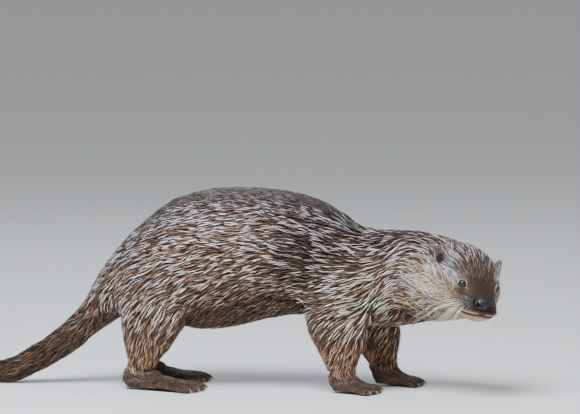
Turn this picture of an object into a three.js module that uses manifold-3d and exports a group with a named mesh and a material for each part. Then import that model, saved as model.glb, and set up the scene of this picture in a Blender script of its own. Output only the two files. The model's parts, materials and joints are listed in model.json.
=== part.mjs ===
// A life-size Eurasian otter standing on all fours, back arched, head lowered and turned to its
// right, mouth closed, tail dropping to the ground. Millimetres, +X forward, +Y the animal's left,
// +Z up. The outline is that of the coat.
import * as THREE from "three";
import { mergeVertices } from "three/addons/utils/BufferGeometryUtils.js";
import Module from "manifold-3d";

const wasm = await Module();
wasm.setup();

const V = (x, y, z) => new THREE.Vector3(x, y, z);
const UP = V(0, 0, 1);
const FORWARD = V(1, 0, 0);
const SIDES = { right: -1, left: 1 };

// ---- Driving dimensions ------------------------------------------------------------------------

const GAP = 0.35; // clearance between neighbouring pieces
const FLAT_DEPTH = 1.6; // how far each sole and the tail's underside are pressed flat
const BLEND = { head: 13, neck: 26, leg: 24, foot: 9 }; // how softly the masses run together

// How far apart the grid lines lie that wrap each mass: along the body, across it and upright.
// The head's grid is finest at the face and runs out to the cranium's widths at its edges.
const CELL = {
  trunk: V(52, 26, 26),
  groin: 24,
  neck: V(26, 24, 22),
  face: V(8, 8.6, 8.4),
  cranium: V(18, 15, 13.5),
  leg: V(16, 14, 28),
  foot: V(14, 12, 12),
};

// The trunk, neck and root of the tail: centre of the oval section, its half width and half height.
const BODY = [
  { name: "tail down", at: V(-400, 0, 16.5), wide: 21, tall: 18 },
  { name: "tail low", at: V(-365, 0, 32), wide: 25, tall: 21 },
  { name: "tail bend", at: V(-327, 0, 55), wide: 30, tall: 24 },
  { name: "tail thick", at: V(-285, 0, 89), wide: 36, tall: 27 },
  { name: "tail root", at: V(-250, 0, 126), wide: 42, tall: 33 },
  { name: "rump", at: V(-206, 0, 160), wide: 55, tall: 50 },
  { name: "croup", at: V(-160, 0, 178), wide: 69, tall: 76 },
  { name: "loin", at: V(-105, 0, 190.5), wide: 77, tall: 104.5 },
  { name: "back", at: V(-45, 0, 201.5), wide: 78, tall: 105.5 },
  { name: "ribs", at: V(11, 0, 207), wide: 76, tall: 98 },
  { name: "withers", at: V(60, 0, 202), wide: 71, tall: 90 },
  { name: "shoulder", at: V(105, 0, 186), wide: 65, tall: 75 },
  { name: "chest", at: V(150, 0, 171), wide: 60, tall: 70 },
  { name: "neck root", at: V(195, -4, 171), wide: 57, tall: 73 },
  { name: "neck", at: V(238, -16, 173), wide: 56, tall: 70 },
  { name: "nape", at: V(281, -38, 172.5), wide: 53, tall: 60.5 },
  { name: "throat", at: V(308, -60, 172), wide: 48, tall: 50 },
];
// The rest of the tail lies on the ground in an arc that swings to the left.
const TAIL = { onGround: 196, swing: 0.72, steps: 3, tipWide: 7, tipTall: 6.5 };

// Legs, from the top down: centre, half width across the body and half depth along it.
const FORELEG = [
  { drop: 178, reach: -4, out: 44, wide: 28, deep: 46 },
  { drop: 140, reach: -10, out: 53, wide: 28, deep: 49 },
  { drop: 105, reach: -3, out: 55, wide: 26, deep: 48 },
  { drop: 78, reach: 0, out: 54, wide: 22, deep: 39 },
  { drop: 54, reach: 1, out: 52, wide: 19, deep: 29 },
  { drop: 30, reach: 3, out: 51, wide: 17, deep: 20 },
];
const HINDLEG = [
  { drop: 165, reach: 14, out: 40, wide: 36, deep: 50 },
  { drop: 126, reach: 16, out: 52, wide: 33, deep: 52 },
  { drop: 94, reach: 10, out: 56, wide: 28, deep: 45 },
  { drop: 70, reach: 4.5, out: 56, wide: 23, deep: 34.5 },
  { drop: 50, reach: 1, out: 55, wide: 18, deep: 27 },
  { drop: 27, reach: -4, out: 54, wide: 16, deep: 21 },
];
// Where each leg stands along the body, and how far the upper leg stays behind the foot.
const STANCE = {
  foreleg_right: { x: 121, side: -1, trail: 0 },
  foreleg_left: { x: 171, side: 1, trail: 32 },
  hindleg_right: { x: -181, side: -1, trail: 0 },
  hindleg_left: { x: -193, side: 1, trail: -8 },
};
// Each foot in its own frame: +X to the toes, ankle above the origin.
const FOOT = {
  fore: {
    rings: [
      { x: -4, z: 17, wide: 16, tall: 16 },
      { x: 12, z: 12, wide: 21, tall: 13 },
      { x: 30, z: 8, wide: 26, tall: 9.5 },
      { x: 42, z: 5, wide: 27, tall: 6 },
    ],
    ball: 28,
    toe: 25,
    toeSpread: 38,
    toeRadius: 6,
    fan: 0.5,
    turn: 0.12,
  },
  hind: {
    rings: [
      { x: -14, z: 18, wide: 15, tall: 16 },
      { x: 12, z: 13, wide: 19, tall: 13.5 },
      { x: 42, z: 9, wide: 26, tall: 10.5 },
      { x: 64, z: 6, wide: 31, tall: 7.5 },
      { x: 82, z: 3, wide: 34, tall: 4.5 },
    ],
    ball: 56,
    toe: 38,
    toeSpread: 42,
    toeRadius: 6,
    fan: 0.42,
    turn: 0.14,
  },
};
const TOES = [0.8, 0.95, 1, 0.95, 0.8]; // length of each of the five toes against the middle one
const CLAW = { length: 8, radius: 2.2, droop: 0.4 };

// Where the animal is parted: places along the spine, and the plane behind the ears.
const CUT = { tailEnd: -392, tailRoot: -246, neckRoot: 192, neckTop: -26 };
const WRIST = 34; // height at which a foot is parted from its leg
const HAUNCH = {
  fore: { at: V(-2, 53, 101), size: V(64, 47, 99) },
  hind: { at: V(6, 52, 98), size: V(65, 45, 95) },
  lean: 0.12,
};

// The head has a frame of its own: origin midway between the ears, +X to the nose, +Y left, +Z crown.
const HEAD = { at: V(316.7, -60.3, 195.8), yaw: -1.056, pitch: 0.446, roll: -0.216 };
const HEAD_MASSES = [
  { name: "cranium", at: V(-4, 0, -13), size: V(50, 49, 38) },
  { name: "forehead", at: V(36, 0, -16), size: V(38, 36, 26.5) },
  { name: "muzzle", at: V(66, 0, -23), size: V(25, 26, 17.5) },
  { name: "chin", at: V(56, 0, -41), size: V(29, 19, 12) },
  { name: "throat", at: V(4, 0, -42), size: V(40, 38, 27) },
];
const HEAD_PAIRS = [
  { name: "cheek", at: V(16, 25, -31), size: V(35, 29, 27) },
  { name: "whisker pad", at: V(74, 14.5, -30), size: V(17, 16.5, 13.5) },
  { name: "brow", at: V(44, 21, 0), size: V(15, 9, 7) },
];
const EYE = { at: V(52.5, 27.5, -2), radius: 7 };
const NOSE = { at: V(84, 0, -14.5), size: V(9.5, 14, 10) };
const MOUTH = { back: 44, height: -40 };
const EAR = { at: V(2, 48.5, 7), face: V(0.6, 0.78, 0.18), size: V(11, 15, 5.5) };
const EAR_BOWL = { forward: 5, size: V(8.8, 12.5, 5) };

// ---- Implicit masses: each function gives a distance, negative inside --------------------------

// Spreads a few stations into many along smooth curves through their centres and sizes.
function spread(stations, perStation) {
  const centres = new THREE.CatmullRomCurve3(stations.map((s) => s.at), false, "centripetal");
  const sizes = new THREE.CatmullRomCurve3(stations.map((s) => V(s.wide, s.tall, 0)), false, "catmullrom");
  const count = (stations.length - 1) * perStation;
  return Array.from({ length: count + 1 }, (_, i) => {
    const size = sizes.getPoint(i / count);
    return { at: centres.getPoint(i / count), wide: size.x, tall: size.y };
  });
}

// A chain of oval cones through the stations; "above" is the way its sections' height points.
function chain(stations, above, perStation = 4) {
  const rings = spread(stations, perStation);
  const links = rings.slice(1).map((b, i) => {
    const a = rings[i];
    const along = b.at.clone().sub(a.at);
    const length = along.length();
    along.divideScalar(length);
    const side = above.clone().cross(along).normalize();
    return { a, b, along, length, side, top: along.clone().cross(side) };
  });
  const off = V(0, 0, 0);
  return (p) => {
    let least = Infinity;
    for (const { a, b, along, length, side, top } of links) {
      off.copy(p).sub(a.at);
      const t = Math.min(1, Math.max(0, off.dot(along) / length));
      off.addScaledVector(along, -t * length);
      const wide = a.wide + (b.wide - a.wide) * t;
      const tall = a.tall + (b.tall - a.tall) * t;
      const narrow = Math.min(wide, tall);
      const share = Math.hypot(off.dot(side) / wide, off.dot(top) / tall, off.dot(along) / narrow);
      const away = off.length();
      const distance = share > 1e-6 ? away - away / share : -narrow;
      if (distance < least) least = distance;
    }
    return least;
  };
}

// An ellipsoid in the frame of an inverse matrix.
function ellipsoid(centre, size, toLocal) {
  const off = V(0, 0, 0);
  return (p) => {
    off.copy(p).applyMatrix4(toLocal).sub(centre);
    const away = off.length();
    const share = off.divide(size).length();
    return share > 1e-6 ? away - away / share : -Math.min(size.x, size.y, size.z);
  };
}

// Union of several masses that runs them together over "soft" millimetres.
function melt(masses, soft) {
  return (p) => {
    let joined = masses[0](p);
    for (let i = 1; i < masses.length; i++) {
      const next = masses[i](p);
      const near = Math.max(soft - Math.abs(joined - next), 0) / soft;
      joined = Math.min(joined, next) - (near * near * soft) / 4;
    }
    return joined;
  };
}

// ---- From a mass to a solid ---------------------------------------------------------------------

// Places from one end to the other, whose spacing changes evenly from the first to the last.
function spaced(from, to, first, last = first) {
  const mean = (first + last) / 2;
  const count = Math.max(2, Math.round(Math.abs(to - from) / mean));
  return Array.from({ length: count + 1 }, (_, i) => {
    const s = i / count;
    return from + ((to - from) * (s * first + (s * s * (last - first)) / 2)) / mean;
  });
}

// An even grid that fills a box.
function evenGrid(low, high, cell) {
  return [spaced(low.x, high.x, cell.x), spaced(low.y, high.y, cell.y), spaced(low.z, high.z, cell.z)];
}

// Wraps the zero surface of a mass inside a grid: one point in each cell that the surface crosses,
// pulled onto the surface, and one quad round each grid edge that it crosses.
function wrap(mass, [xs, ys, zs], frame = new THREE.Matrix4()) {
  const [nx, ny, nz] = [xs.length, ys.length, zs.length];
  const small = Math.min(xs[1] - xs[0], ys[1] - ys[0], zs[1] - zs[0], xs[nx - 1] - xs[nx - 2]);
  const grid = (i, j, k) => i + nx * (j + ny * k);
  const place = (i, j, k) => V(xs[i], ys[j], zs[k]);
  const inside = (p) => {
    const low = Math.max(xs[1] - p.x, ys[1] - p.y, zs[1] - p.z);
    const high = Math.max(p.x - xs[nx - 2], p.y - ys[ny - 2], p.z - zs[nz - 2]);
    const out = Math.max(low, high);
    return Math.max(mass(p.clone().applyMatrix4(frame)), out + small / 2);
  };
  const value = new Float32Array(nx * ny * nz);
  for (let k = 0; k < nz; k++)
    for (let j = 0; j < ny; j++)
      for (let i = 0; i < nx; i++) value[grid(i, j, k)] = inside(place(i, j, k));
  const corners = [0, 1, 2, 3, 4, 5, 6, 7].map((c) => [c & 1, (c >> 1) & 1, (c >> 2) & 1]);
  const edges = [];
  for (let a = 0; a < 8; a++) for (const bit of [1, 2, 4]) if (!(a & bit)) edges.push([a, a | bit]);
  const points = [];
  const pointOf = new Map();
  for (let k = 0; k < nz - 1; k++)
    for (let j = 0; j < ny - 1; j++)
      for (let i = 0; i < nx - 1; i++) {
        const v = corners.map(([x, y, z]) => value[grid(i + x, j + y, k + z)]);
        const at = corners.map(([x, y, z]) => place(i + x, j + y, k + z));
        const sum = V(0, 0, 0);
        let crossings = 0;
        for (const [a, b] of edges) {
          if (v[a] < 0 === v[b] < 0) continue;
          sum.add(at[a].clone().lerp(at[b], v[a] / (v[a] - v[b])));
          crossings++;
        }
        if (!crossings) continue;
        pointOf.set(grid(i, j, k), points.length);
        points.push(settle(inside, sum.divideScalar(crossings), at[0], at[7]));
      }
  const faces = [];
  const steps = [V(1, 0, 0), V(0, 1, 0), V(0, 0, 1)];
  for (let k = 1; k < nz - 1; k++)
    for (let j = 1; j < ny - 1; j++)
      for (let i = 1; i < nx - 1; i++)
        steps.forEach((step, axis) => {
          const here = value[grid(i, j, k)] < 0;
          const there = value[grid(i + step.x, j + step.y, k + step.z)] < 0;
          if (here === there) return;
          const [u, w] = [steps[(axis + 1) % 3], steps[(axis + 2) % 3]];
          const at = (a, b) =>
            pointOf.get(grid(i - a * u.x - b * w.x, j - a * u.y - b * w.y, k - a * u.z - b * w.z));
          const ring = [at(1, 1), at(0, 1), at(0, 0), at(1, 0)];
          if (!here) ring.reverse();
          // The shorter diagonal parts the quad.
          const [p, q, r, t] = ring.map((n) => points[n]);
          const [a, b, c, d] = p.distanceTo(r) <= q.distanceTo(t) ? ring : [...ring.slice(1), ring[0]];
          faces.push(a, b, c, a, c, d);
        });
  return new wasm.Manifold(
    new wasm.Mesh({
      numProp: 3,
      vertProperties: new Float32Array(points.flatMap((p) => p.applyMatrix4(frame).toArray())),
      triVerts: new Uint32Array(faces),
    }),
  );
}

// Steps a point down the slope of a mass onto its surface, without leaving the cell it is in.
function settle(mass, point, low, high) {
  for (let n = 0; n < 3; n++) {
    const slope = slopeOf(mass, point);
    point.addScaledVector(slope, -mass(point) / Math.max(slope.lengthSq(), 0.25));
    point.clamp(low, high);
  }
  return point;
}

// The way in which a mass grows fastest at a point, and how fast.
function slopeOf(mass, point) {
  const change = (axis) => {
    const [ahead, behind] = [point.clone(), point.clone()];
    ahead[axis] += 0.5;
    behind[axis] -= 0.5;
    return mass(ahead) - mass(behind);
  };
  return V(change("x"), change("y"), change("z"));
}

// Turns a closed three.js geometry, placed by a matrix, into a solid.
function solid(geometry, matrix = new THREE.Matrix4()) {
  const bare = geometry.clone().applyMatrix4(matrix);
  bare.deleteAttribute("normal");
  bare.deleteAttribute("uv");
  const merged = mergeVertices(bare, 1e-4);
  const triVerts = new Uint32Array(merged.index.array);
  if (matrix.determinant() < 0)
    for (let i = 0; i < triVerts.length; i += 3)
      [triVerts[i + 1], triVerts[i + 2]] = [triVerts[i + 2], triVerts[i + 1]];
  return new wasm.Manifold(
    new wasm.Mesh({ numProp: 3, vertProperties: merged.attributes.position.array, triVerts }),
  );
}

// Gives a solid back as a geometry.
function geometryOf(made) {
  const mesh = made.getMesh();
  return new THREE.BufferGeometry()
    .setAttribute("position", new THREE.BufferAttribute(new Float32Array(mesh.vertProperties), 3))
    .setIndex(new THREE.BufferAttribute(new Uint32Array(mesh.triVerts), 1));
}

// A box between two corners, placed by a matrix.
function block(low, high, matrix = new THREE.Matrix4()) {
  const size = high.clone().sub(low);
  const middle = low.clone().add(high).divideScalar(2);
  return solid(
    new THREE.BoxGeometry(size.x, size.y, size.z),
    matrix.clone().multiply(new THREE.Matrix4().setPosition(middle)),
  );
}

// A ball stretched to the given half sizes, placed by a matrix.
function ball(size, matrix, around = 16, along = 10) {
  return solid(new THREE.SphereGeometry(1, around, along), matrix.clone().scale(size));
}

// The largest body of a solid, without the slivers that a cut can leave.
function largest(made) {
  return made.decompose().reduce((best, next) => (next.volume() > best.volume() ? next : best));
}

// Turns a chain of oval rings into a closed tube with a round tip at its first ring.
function tube(rings, around) {
  const [tip, next] = rings;
  const back = tip.at.clone().sub(next.at).normalize();
  const round = [75, 50, 25].map((degrees) => {
    const angle = THREE.MathUtils.degToRad(degrees);
    const at = tip.at.clone().addScaledVector(back, tip.tall * Math.sin(angle));
    return { at, wide: tip.wide * Math.cos(angle), tall: tip.tall * Math.cos(angle) };
  });
  const all = [...round, ...rings];
  const points = all.flatMap(({ at, wide, tall }, i) => {
    const ahead = all[Math.min(i + 1, all.length - 1)].at;
    const along = ahead.clone().sub(all[Math.max(i - 1, 0)].at).normalize();
    const side = UP.clone().cross(along).normalize();
    const top = along.clone().cross(side);
    return Array.from({ length: around }, (_, j) => {
      const angle = (2 * Math.PI * (j + 0.5)) / around;
      const out = side.clone().multiplyScalar(wide * Math.cos(angle));
      return out.addScaledVector(top, tall * Math.sin(angle)).add(at);
    });
  });
  const faces = [];
  for (let i = 0; i < all.length - 1; i++)
    for (let j = 0; j < around; j++) {
      const [a, b] = [i * around + j, i * around + ((j + 1) % around)];
      faces.push(a, b, b + around, a, b + around, a + around);
    }
  const last = (all.length - 1) * around;
  for (let j = 1; j < around - 1; j++) faces.push(0, j + 1, j, last, last + j, last + j + 1);
  const geometry = new THREE.BufferGeometry().setFromPoints(points).setIndex(faces);
  return solid(geometry);
}

// ---- The body as one soft mass -------------------------------------------------------------------

// The tail's end, from its tip, in an arc along the ground that swings to the left.
function tailOnGround() {
  const start = BODY[0];
  const radius = TAIL.onGround / TAIL.swing;
  return Array.from({ length: TAIL.steps }, (_, i) => {
    const share = 1 - i / TAIL.steps;
    const angle = TAIL.swing * share;
    const wide = THREE.MathUtils.lerp(start.wide, TAIL.tipWide, share);
    const tall = THREE.MathUtils.lerp(start.tall, TAIL.tipTall, share);
    const x = start.at.x - radius * Math.sin(angle);
    return { at: V(x, radius * (1 - Math.cos(angle)), tall - FLAT_DEPTH), wide, tall };
  });
}

// A leg's rings; the further they are above the wrist, the more they trail behind the foot.
function legStations(name) {
  const { x, side, trail } = STANCE[name];
  const shape = shapeOf(name);
  return shape.map(({ drop, reach, out, wide, deep }) => {
    const above = Math.max(0, drop - WRIST) / (shape[0].drop - WRIST);
    return { at: V(x + reach - trail * above, side * out, drop), wide, tall: deep };
  });
}

const shapeOf = (name) => (name.startsWith("fore") ? FORELEG : HINDLEG);
const kindOf = (name) => (name.startsWith("fore") ? FOOT.fore : FOOT.hind);

// The foot's own frame: origin under the ankle on the ground, +X to the toes.
function footFrame(name) {
  const { x, side } = STANCE[name];
  const ankle = shapeOf(name).at(-1);
  const turn = new THREE.Matrix4().makeRotationZ(side * kindOf(name).turn);
  return turn.setPosition(x + ankle.reach, side * ankle.out, 0);
}

function footMass(name) {
  const kind = kindOf(name);
  const frame = footFrame(name);
  const placed = ({ x, z, wide, tall }) => ({ at: V(x, 0, z).applyMatrix4(frame), wide, tall });
  return chain(kind.rings.map(placed), UP);
}

const headFrame = new THREE.Matrix4()
  .makeRotationFromEuler(new THREE.Euler(HEAD.roll, HEAD.pitch, HEAD.yaw, "ZYX"))
  .setPosition(HEAD.at);
const toHead = headFrame.clone().invert();

const spineStations = [...tailOnGround(), ...BODY];
const spine = chain(spineStations, UP);
const skull = melt(
  [
    ...HEAD_MASSES.map(({ at, size }) => ellipsoid(at, size, toHead)),
    ...HEAD_PAIRS.flatMap(({ at, size }) =>
      Object.values(SIDES).map((side) => ellipsoid(V(at.x, side * at.y, at.z), size, toHead)),
    ),
  ],
  BLEND.head,
);
const legNames = Object.keys(STANCE);
const legs = Object.fromEntries(legNames.map((name) => [name, chain(legStations(name), FORWARD)]));
const headAndSpine = melt([spine, skull], BLEND.neck);
const trunkAndLegs = melt([spine, ...Object.values(legs)], BLEND.leg);

// ---- Cuts that part the body ---------------------------------------------------------------------

const FAR = 900; // beyond the animal on every side
const aboveGround = block(V(-FAR, -FAR, 0), V(FAR, FAR, FAR));

// A plane across the spine at a place along X, facing the way the body runs there.
function planeAt(x) {
  const rings = spread(spineStations, 8);
  const i = rings.findIndex((ring) => ring.at.x >= x);
  return { at: rings[i].at, way: rings[i].at.clone().sub(rings[i - 1].at).normalize() };
}

const cuts = {
  tailEnd: planeAt(CUT.tailEnd),
  tailRoot: planeAt(CUT.tailRoot),
  neckRoot: planeAt(CUT.neckRoot),
  neckTop: {
    at: V(CUT.neckTop, 0, -20).applyMatrix4(headFrame),
    way: FORWARD.clone().transformDirection(headFrame),
  },
};

// Everything behind a plane and a little beyond it.
function behind({ at, way }) {
  const turn = new THREE.Quaternion().setFromUnitVectors(FORWARD, way);
  const place = new THREE.Matrix4().makeRotationFromQuaternion(turn).setPosition(at);
  return block(V(-FAR, -FAR, -FAR), V(GAP / 2, FAR, FAR), place);
}

// Keeps what lies in front of one plane and behind another; either may be left out.
function between(made, back, front) {
  let kept = made;
  if (back) kept = kept.subtract(behind(back));
  if (front) kept = kept.subtract(behind({ at: front.at, way: front.way.clone().negate() }));
  return largest(kept);
}

// The rounded bulk of a shoulder or thigh, down to the ground, which parts a leg from the trunk.
function haunch(name, grow) {
  const { x, side, trail } = STANCE[name];
  const { at, size } = name.startsWith("fore") ? HAUNCH.fore : HAUNCH.hind;
  const place = new THREE.Matrix4().makeRotationX(side * HAUNCH.lean);
  place.setPosition(x + at.x - trail / 2, side * at.y, at.z);
  return ball(size.clone().addScalar(grow), place, 12, 8);
}

// What is left of a piece once every shoulder and thigh has been taken out of it.
function clearOfLegs(made) {
  return largest(legNames.reduce((left, name) => left.subtract(haunch(name, GAP / 2)), made));
}

// ---- Pieces ----------------------------------------------------------------------------------------

// A box round a leg or foot of one side.
function sideBox(name, back, front, low, high) {
  const { x, side } = STANCE[name];
  const [inner, outer] = [side * -36, side * 132];
  return [V(x + back, Math.min(inner, outer), low), V(x + front, Math.max(inner, outer), high)];
}

function legSolid(name) {
  const own = melt([spine, legs[name]], BLEND.leg);
  const [low, high] = sideBox(name, -120, 100, -25, 235);
  const leg = wrap(own, evenGrid(low, high, CELL.leg)).intersect(haunch(name, -GAP / 2));
  return largest(leg.intersect(block(V(-FAR, -FAR, WRIST + GAP / 2), V(FAR, FAR, FAR))));
}

// The two ends of a toe in the world.
function toeEnds(name, i) {
  const kind = kindOf(name);
  const frame = footFrame(name);
  const spot = i / (TOES.length - 1) - 0.5;
  const angle = 2 * kind.fan * spot;
  const root = V(kind.ball, kind.toeSpread * spot, kind.toeRadius + 2.5);
  const reach = kind.toe * TOES[i];
  const tip = V(reach * Math.cos(angle), reach * Math.sin(angle), 0).add(root);
  tip.z = kind.toeRadius - FLAT_DEPTH;
  return [root.applyMatrix4(frame), tip.applyMatrix4(frame)];
}

// One toe: a round-ended rod from the ball of the foot to its tip.
function toe(name, i, grow) {
  const [root, tip] = toeEnds(name, i);
  const way = tip.clone().sub(root);
  const rod = new THREE.CapsuleGeometry(kindOf(name).toeRadius + grow, way.length(), 2, 6);
  const turn = new THREE.Quaternion().setFromUnitVectors(V(0, 1, 0), way.normalize());
  const place = new THREE.Matrix4().makeRotationFromQuaternion(turn);
  return solid(rod, place.setPosition(root.lerp(tip, 0.5)));
}

// A claw: a round cone bent down towards its point, standing out of the upper part of a toe's tip.
function claw(name, i) {
  const [root, tip] = toeEnds(name, i);
  const radius = kindOf(name).toeRadius;
  const way = tip.clone().sub(root).setZ(0).normalize();
  const shape = new THREE.ConeGeometry(CLAW.radius, CLAW.length, 5, 1);
  const lean = new THREE.Matrix4().makeShear(0, 0, 0, -CLAW.droop, 0, 0);
  const height = radius * 1.1 - (CLAW.droop * CLAW.length) / 2;
  const start = tip.addScaledVector(way, radius * 0.5 + CLAW.length / 2).setZ(height);
  const place = new THREE.Matrix4().makeBasis(UP.clone().cross(way).negate(), way, UP);
  return largest(solid(shape, place.setPosition(start).multiply(lean)).subtract(toe(name, i, GAP)));
}

function footSolid(name) {
  const own = melt([melt([spine, legs[name]], BLEND.leg), footMass(name)], BLEND.foot);
  const [low, high] = sideBox(name, -60, 130, -16, 56);
  let foot = wrap(own, evenGrid(low, high, CELL.foot));
  for (const i of TOES.keys()) foot = foot.add(toe(name, i, 0));
  return largest(foot.intersect(block(V(-FAR, -FAR, 0), V(FAR, FAR, WRIST - GAP / 2))));
}

// The head, its grid finest at the nose, with sockets for the eyes, the nose and the ears.
function headPieces() {
  const { face, cranium } = CELL;
  const back = spaced(CUT.neckTop - 34, 45, cranium.x, face.x).slice(0, -1);
  const lengthwise = [...back, ...spaced(45, 112, face.x)];
  const half = [...spaced(0, 30, face.y).slice(0, -1), ...spaced(30, 100, face.y, cranium.y)];
  const across = [...half.slice(1).reverse().map((y) => -y), ...half];
  const below = [...spaced(-125, -45, cranium.z, face.z).slice(0, -1), ...spaced(-45, 10, face.z)];
  const upright = [...below.slice(0, -1), ...spaced(10, 55, face.z, cranium.z)];
  let head = between(wrap(headAndSpine, [lengthwise, across, upright], headFrame), cuts.neckTop, null);
  const pieces = {};
  const noseAt = headFrame.clone().multiply(new THREE.Matrix4().setPosition(NOSE.at));
  pieces.nose = ball(NOSE.size, noseAt, 10, 7);
  head = head.subtract(ball(NOSE.size.clone().addScalar(GAP), noseAt, 10, 7));
  for (const [label, side] of Object.entries(SIDES)) {
    const at = V(EYE.at.x, side * EYE.at.y, EYE.at.z);
    const eyeAt = headFrame.clone().multiply(new THREE.Matrix4().setPosition(at));
    pieces["eye_" + label] = ball(V(1, 1, 1).multiplyScalar(EYE.radius), eyeAt, 8, 6);
    head = head.subtract(ball(V(1, 1, 1).multiplyScalar(EYE.radius + GAP), eyeAt, 8, 6));
    const flap = (grow) => ball(EAR.size.clone().addScalar(grow), earPlace(side, 0), 9, 6);
    const bowl = ball(EAR_BOWL.size, earPlace(side, EAR_BOWL.forward), 7, 4);
    pieces["ear_" + label] = flap(0).subtract(bowl);
    head = head.subtract(flap(GAP));
  }
  // The lower jaw is parted from the head along the line of the mouth and behind its corner.
  const jawBox = (grow) => block(V(MOUTH.back - grow, -60, -120), V(140, 60, MOUTH.height + grow), headFrame);
  pieces.jaw = largest(head.intersect(jawBox(0)));
  pieces.head = largest(head.subtract(jawBox(GAP)));
  return pieces;
}

// The frame of an ear: +Z the way its hollow faces, +Y up its height.
function earPlace(side, forward) {
  const facing = V(EAR.face.x, side * EAR.face.y, EAR.face.z).normalize();
  const up = UP.clone().addScaledVector(facing, -facing.z).normalize();
  const turn = new THREE.Matrix4().makeBasis(up.clone().cross(facing), up, facing);
  const at = V(EAR.at.x, side * EAR.at.y, EAR.at.z).addScaledVector(facing, forward);
  return headFrame.clone().multiply(turn.setPosition(at));
}

function bodyPieces() {
  const pieces = {};
  // The trunk's grid is finest along where the belly meets the thighs and the shoulders.
  const { trunk: wide, groin: fine } = CELL;
  const hind = [...spaced(-340, -110, wide.x, fine).slice(0, -1), ...spaced(-110, 20, fine, wide.x)];
  const fore = [...spaced(20, 110, wide.x, fine).slice(1, -1), ...spaced(110, 290, fine, 36)];
  const [, across, upright] = evenGrid(V(-340, -138, 24), V(290, 138, 360), wide);
  const trunk = wrap(trunkAndLegs, [[...hind, ...fore], across, upright]);
  pieces.trunk = clearOfLegs(between(trunk, cuts.tailRoot, cuts.neckRoot));
  const neck = wrap(headAndSpine, evenGrid(V(130, -200, 26), V(440, 150, 310), CELL.neck));
  pieces.neck = clearOfLegs(between(neck, cuts.neckRoot, cuts.neckTop));
  const tail = tube(spread(spineStations, 2).filter(({ at }) => at.x < CUT.tailRoot + 50), 10);
  const laid = tail.intersect(aboveGround);
  pieces.tail_root = clearOfLegs(between(laid, cuts.tailEnd, cuts.tailRoot));
  pieces.tail_end = between(laid, null, cuts.tailEnd);
  for (const name of legNames) {
    pieces[name] = legSolid(name);
    pieces[name.replace("leg", "foot")] = footSolid(name);
    for (const i of TOES.keys()) pieces[`claw_${name.replace("leg", "")}_${i + 1}`] = claw(name, i);
  }
  return pieces;
}

// ---- The model ----------------------------------------------------------------------------------------

const COAT = new THREE.MeshStandardMaterial({ color: "#5c4a3f", roughness: 0.55 });
const FACE = new THREE.MeshStandardMaterial({ color: "#7a6656", roughness: 0.7 });
const SKIN = new THREE.MeshStandardMaterial({ color: "#2b2523", roughness: 0.45 });
const EYEBALL = new THREE.MeshStandardMaterial({ color: "#120e0c", roughness: 0.08 });
const HORN = new THREE.MeshStandardMaterial({ color: "#4a3c32", roughness: 0.4 });

function materialOf(name) {
  if (name.startsWith("eye")) return EYEBALL;
  if (name.startsWith("claw")) return HORN;
  if (name === "nose") return SKIN;
  if (name === "jaw" || name === "head" || name.startsWith("ear")) return FACE;
  return COAT;
}

const otter = new THREE.Group();
for (const [name, made] of Object.entries({ ...bodyPieces(), ...headPieces() })) {
  const mesh = new THREE.Mesh(geometryOf(made), materialOf(name));
  mesh.name = name;
  otter.add(mesh);
}
// The origin is on the ground, below the middle of the whole animal.
const bounds = new THREE.Box3().setFromObject(otter);
const middle = bounds.getCenter(V(0, 0, 0));
otter.position.set(-middle.x, -middle.y, -bounds.min.z);

export default otter;
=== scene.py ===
"""Eurasian otter, a still life-size model: skin, wet coat, eyes, nose, claws and whiskers round its frame."""

import json
import math

import bmesh
import bpy
import numpy as np
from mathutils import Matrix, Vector

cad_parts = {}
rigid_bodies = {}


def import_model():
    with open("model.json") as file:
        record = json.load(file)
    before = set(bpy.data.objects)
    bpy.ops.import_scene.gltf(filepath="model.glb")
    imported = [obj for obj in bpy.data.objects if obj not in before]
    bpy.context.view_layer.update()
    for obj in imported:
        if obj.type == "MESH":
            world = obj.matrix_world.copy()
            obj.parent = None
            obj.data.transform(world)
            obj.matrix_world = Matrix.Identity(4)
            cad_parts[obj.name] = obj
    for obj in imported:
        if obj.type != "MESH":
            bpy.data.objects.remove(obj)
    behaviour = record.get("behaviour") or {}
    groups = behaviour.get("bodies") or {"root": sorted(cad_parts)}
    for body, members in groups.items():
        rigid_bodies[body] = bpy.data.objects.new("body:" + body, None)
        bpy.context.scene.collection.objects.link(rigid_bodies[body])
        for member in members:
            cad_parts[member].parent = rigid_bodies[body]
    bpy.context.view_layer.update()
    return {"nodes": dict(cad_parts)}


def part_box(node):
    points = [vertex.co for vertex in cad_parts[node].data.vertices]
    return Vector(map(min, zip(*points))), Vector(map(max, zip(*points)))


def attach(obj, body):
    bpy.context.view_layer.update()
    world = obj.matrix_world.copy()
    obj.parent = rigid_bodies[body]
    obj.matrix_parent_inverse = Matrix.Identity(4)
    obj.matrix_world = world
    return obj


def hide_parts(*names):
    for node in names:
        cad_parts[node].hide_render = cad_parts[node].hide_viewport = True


bl_info = {
    "name": "Eurasian Otter",
    "version": (1, 0, 0),
    "blender": (4, 5, 0),
    "location": "View3D > Sidebar > Otter",
    "description": "Builds the skin, coat, eyes, nose, claws and whiskers of a still otter round its frame",
    "category": "Object",
}

# The scene starts empty, and then holds the frame's nodes.
for spare in list(bpy.data.objects):
    bpy.data.objects.remove(spare)
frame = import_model()
NODES = frame["nodes"]
MM = 0.001
SEED = 7
# The most neighbours that a vertex's row keeps.
RING = 12
# The nodes that the skin replaces, and the feet that carry the claws.
FLESH = [name for name in NODES if not name.startswith(("claw", "eye", "nose"))]
FEET = ["fore_right", "fore_left", "hind_right", "hind_left"]


def middle(node):
    """The middle of a CAD node's box, in metres."""
    low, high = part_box(node)
    return (np.array(low) + np.array(high)) / 2


def unit(v):
    """Vectors of length one along v."""
    return v / np.maximum(np.linalg.norm(v, axis=-1, keepdims=True), 1e-12)


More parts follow.
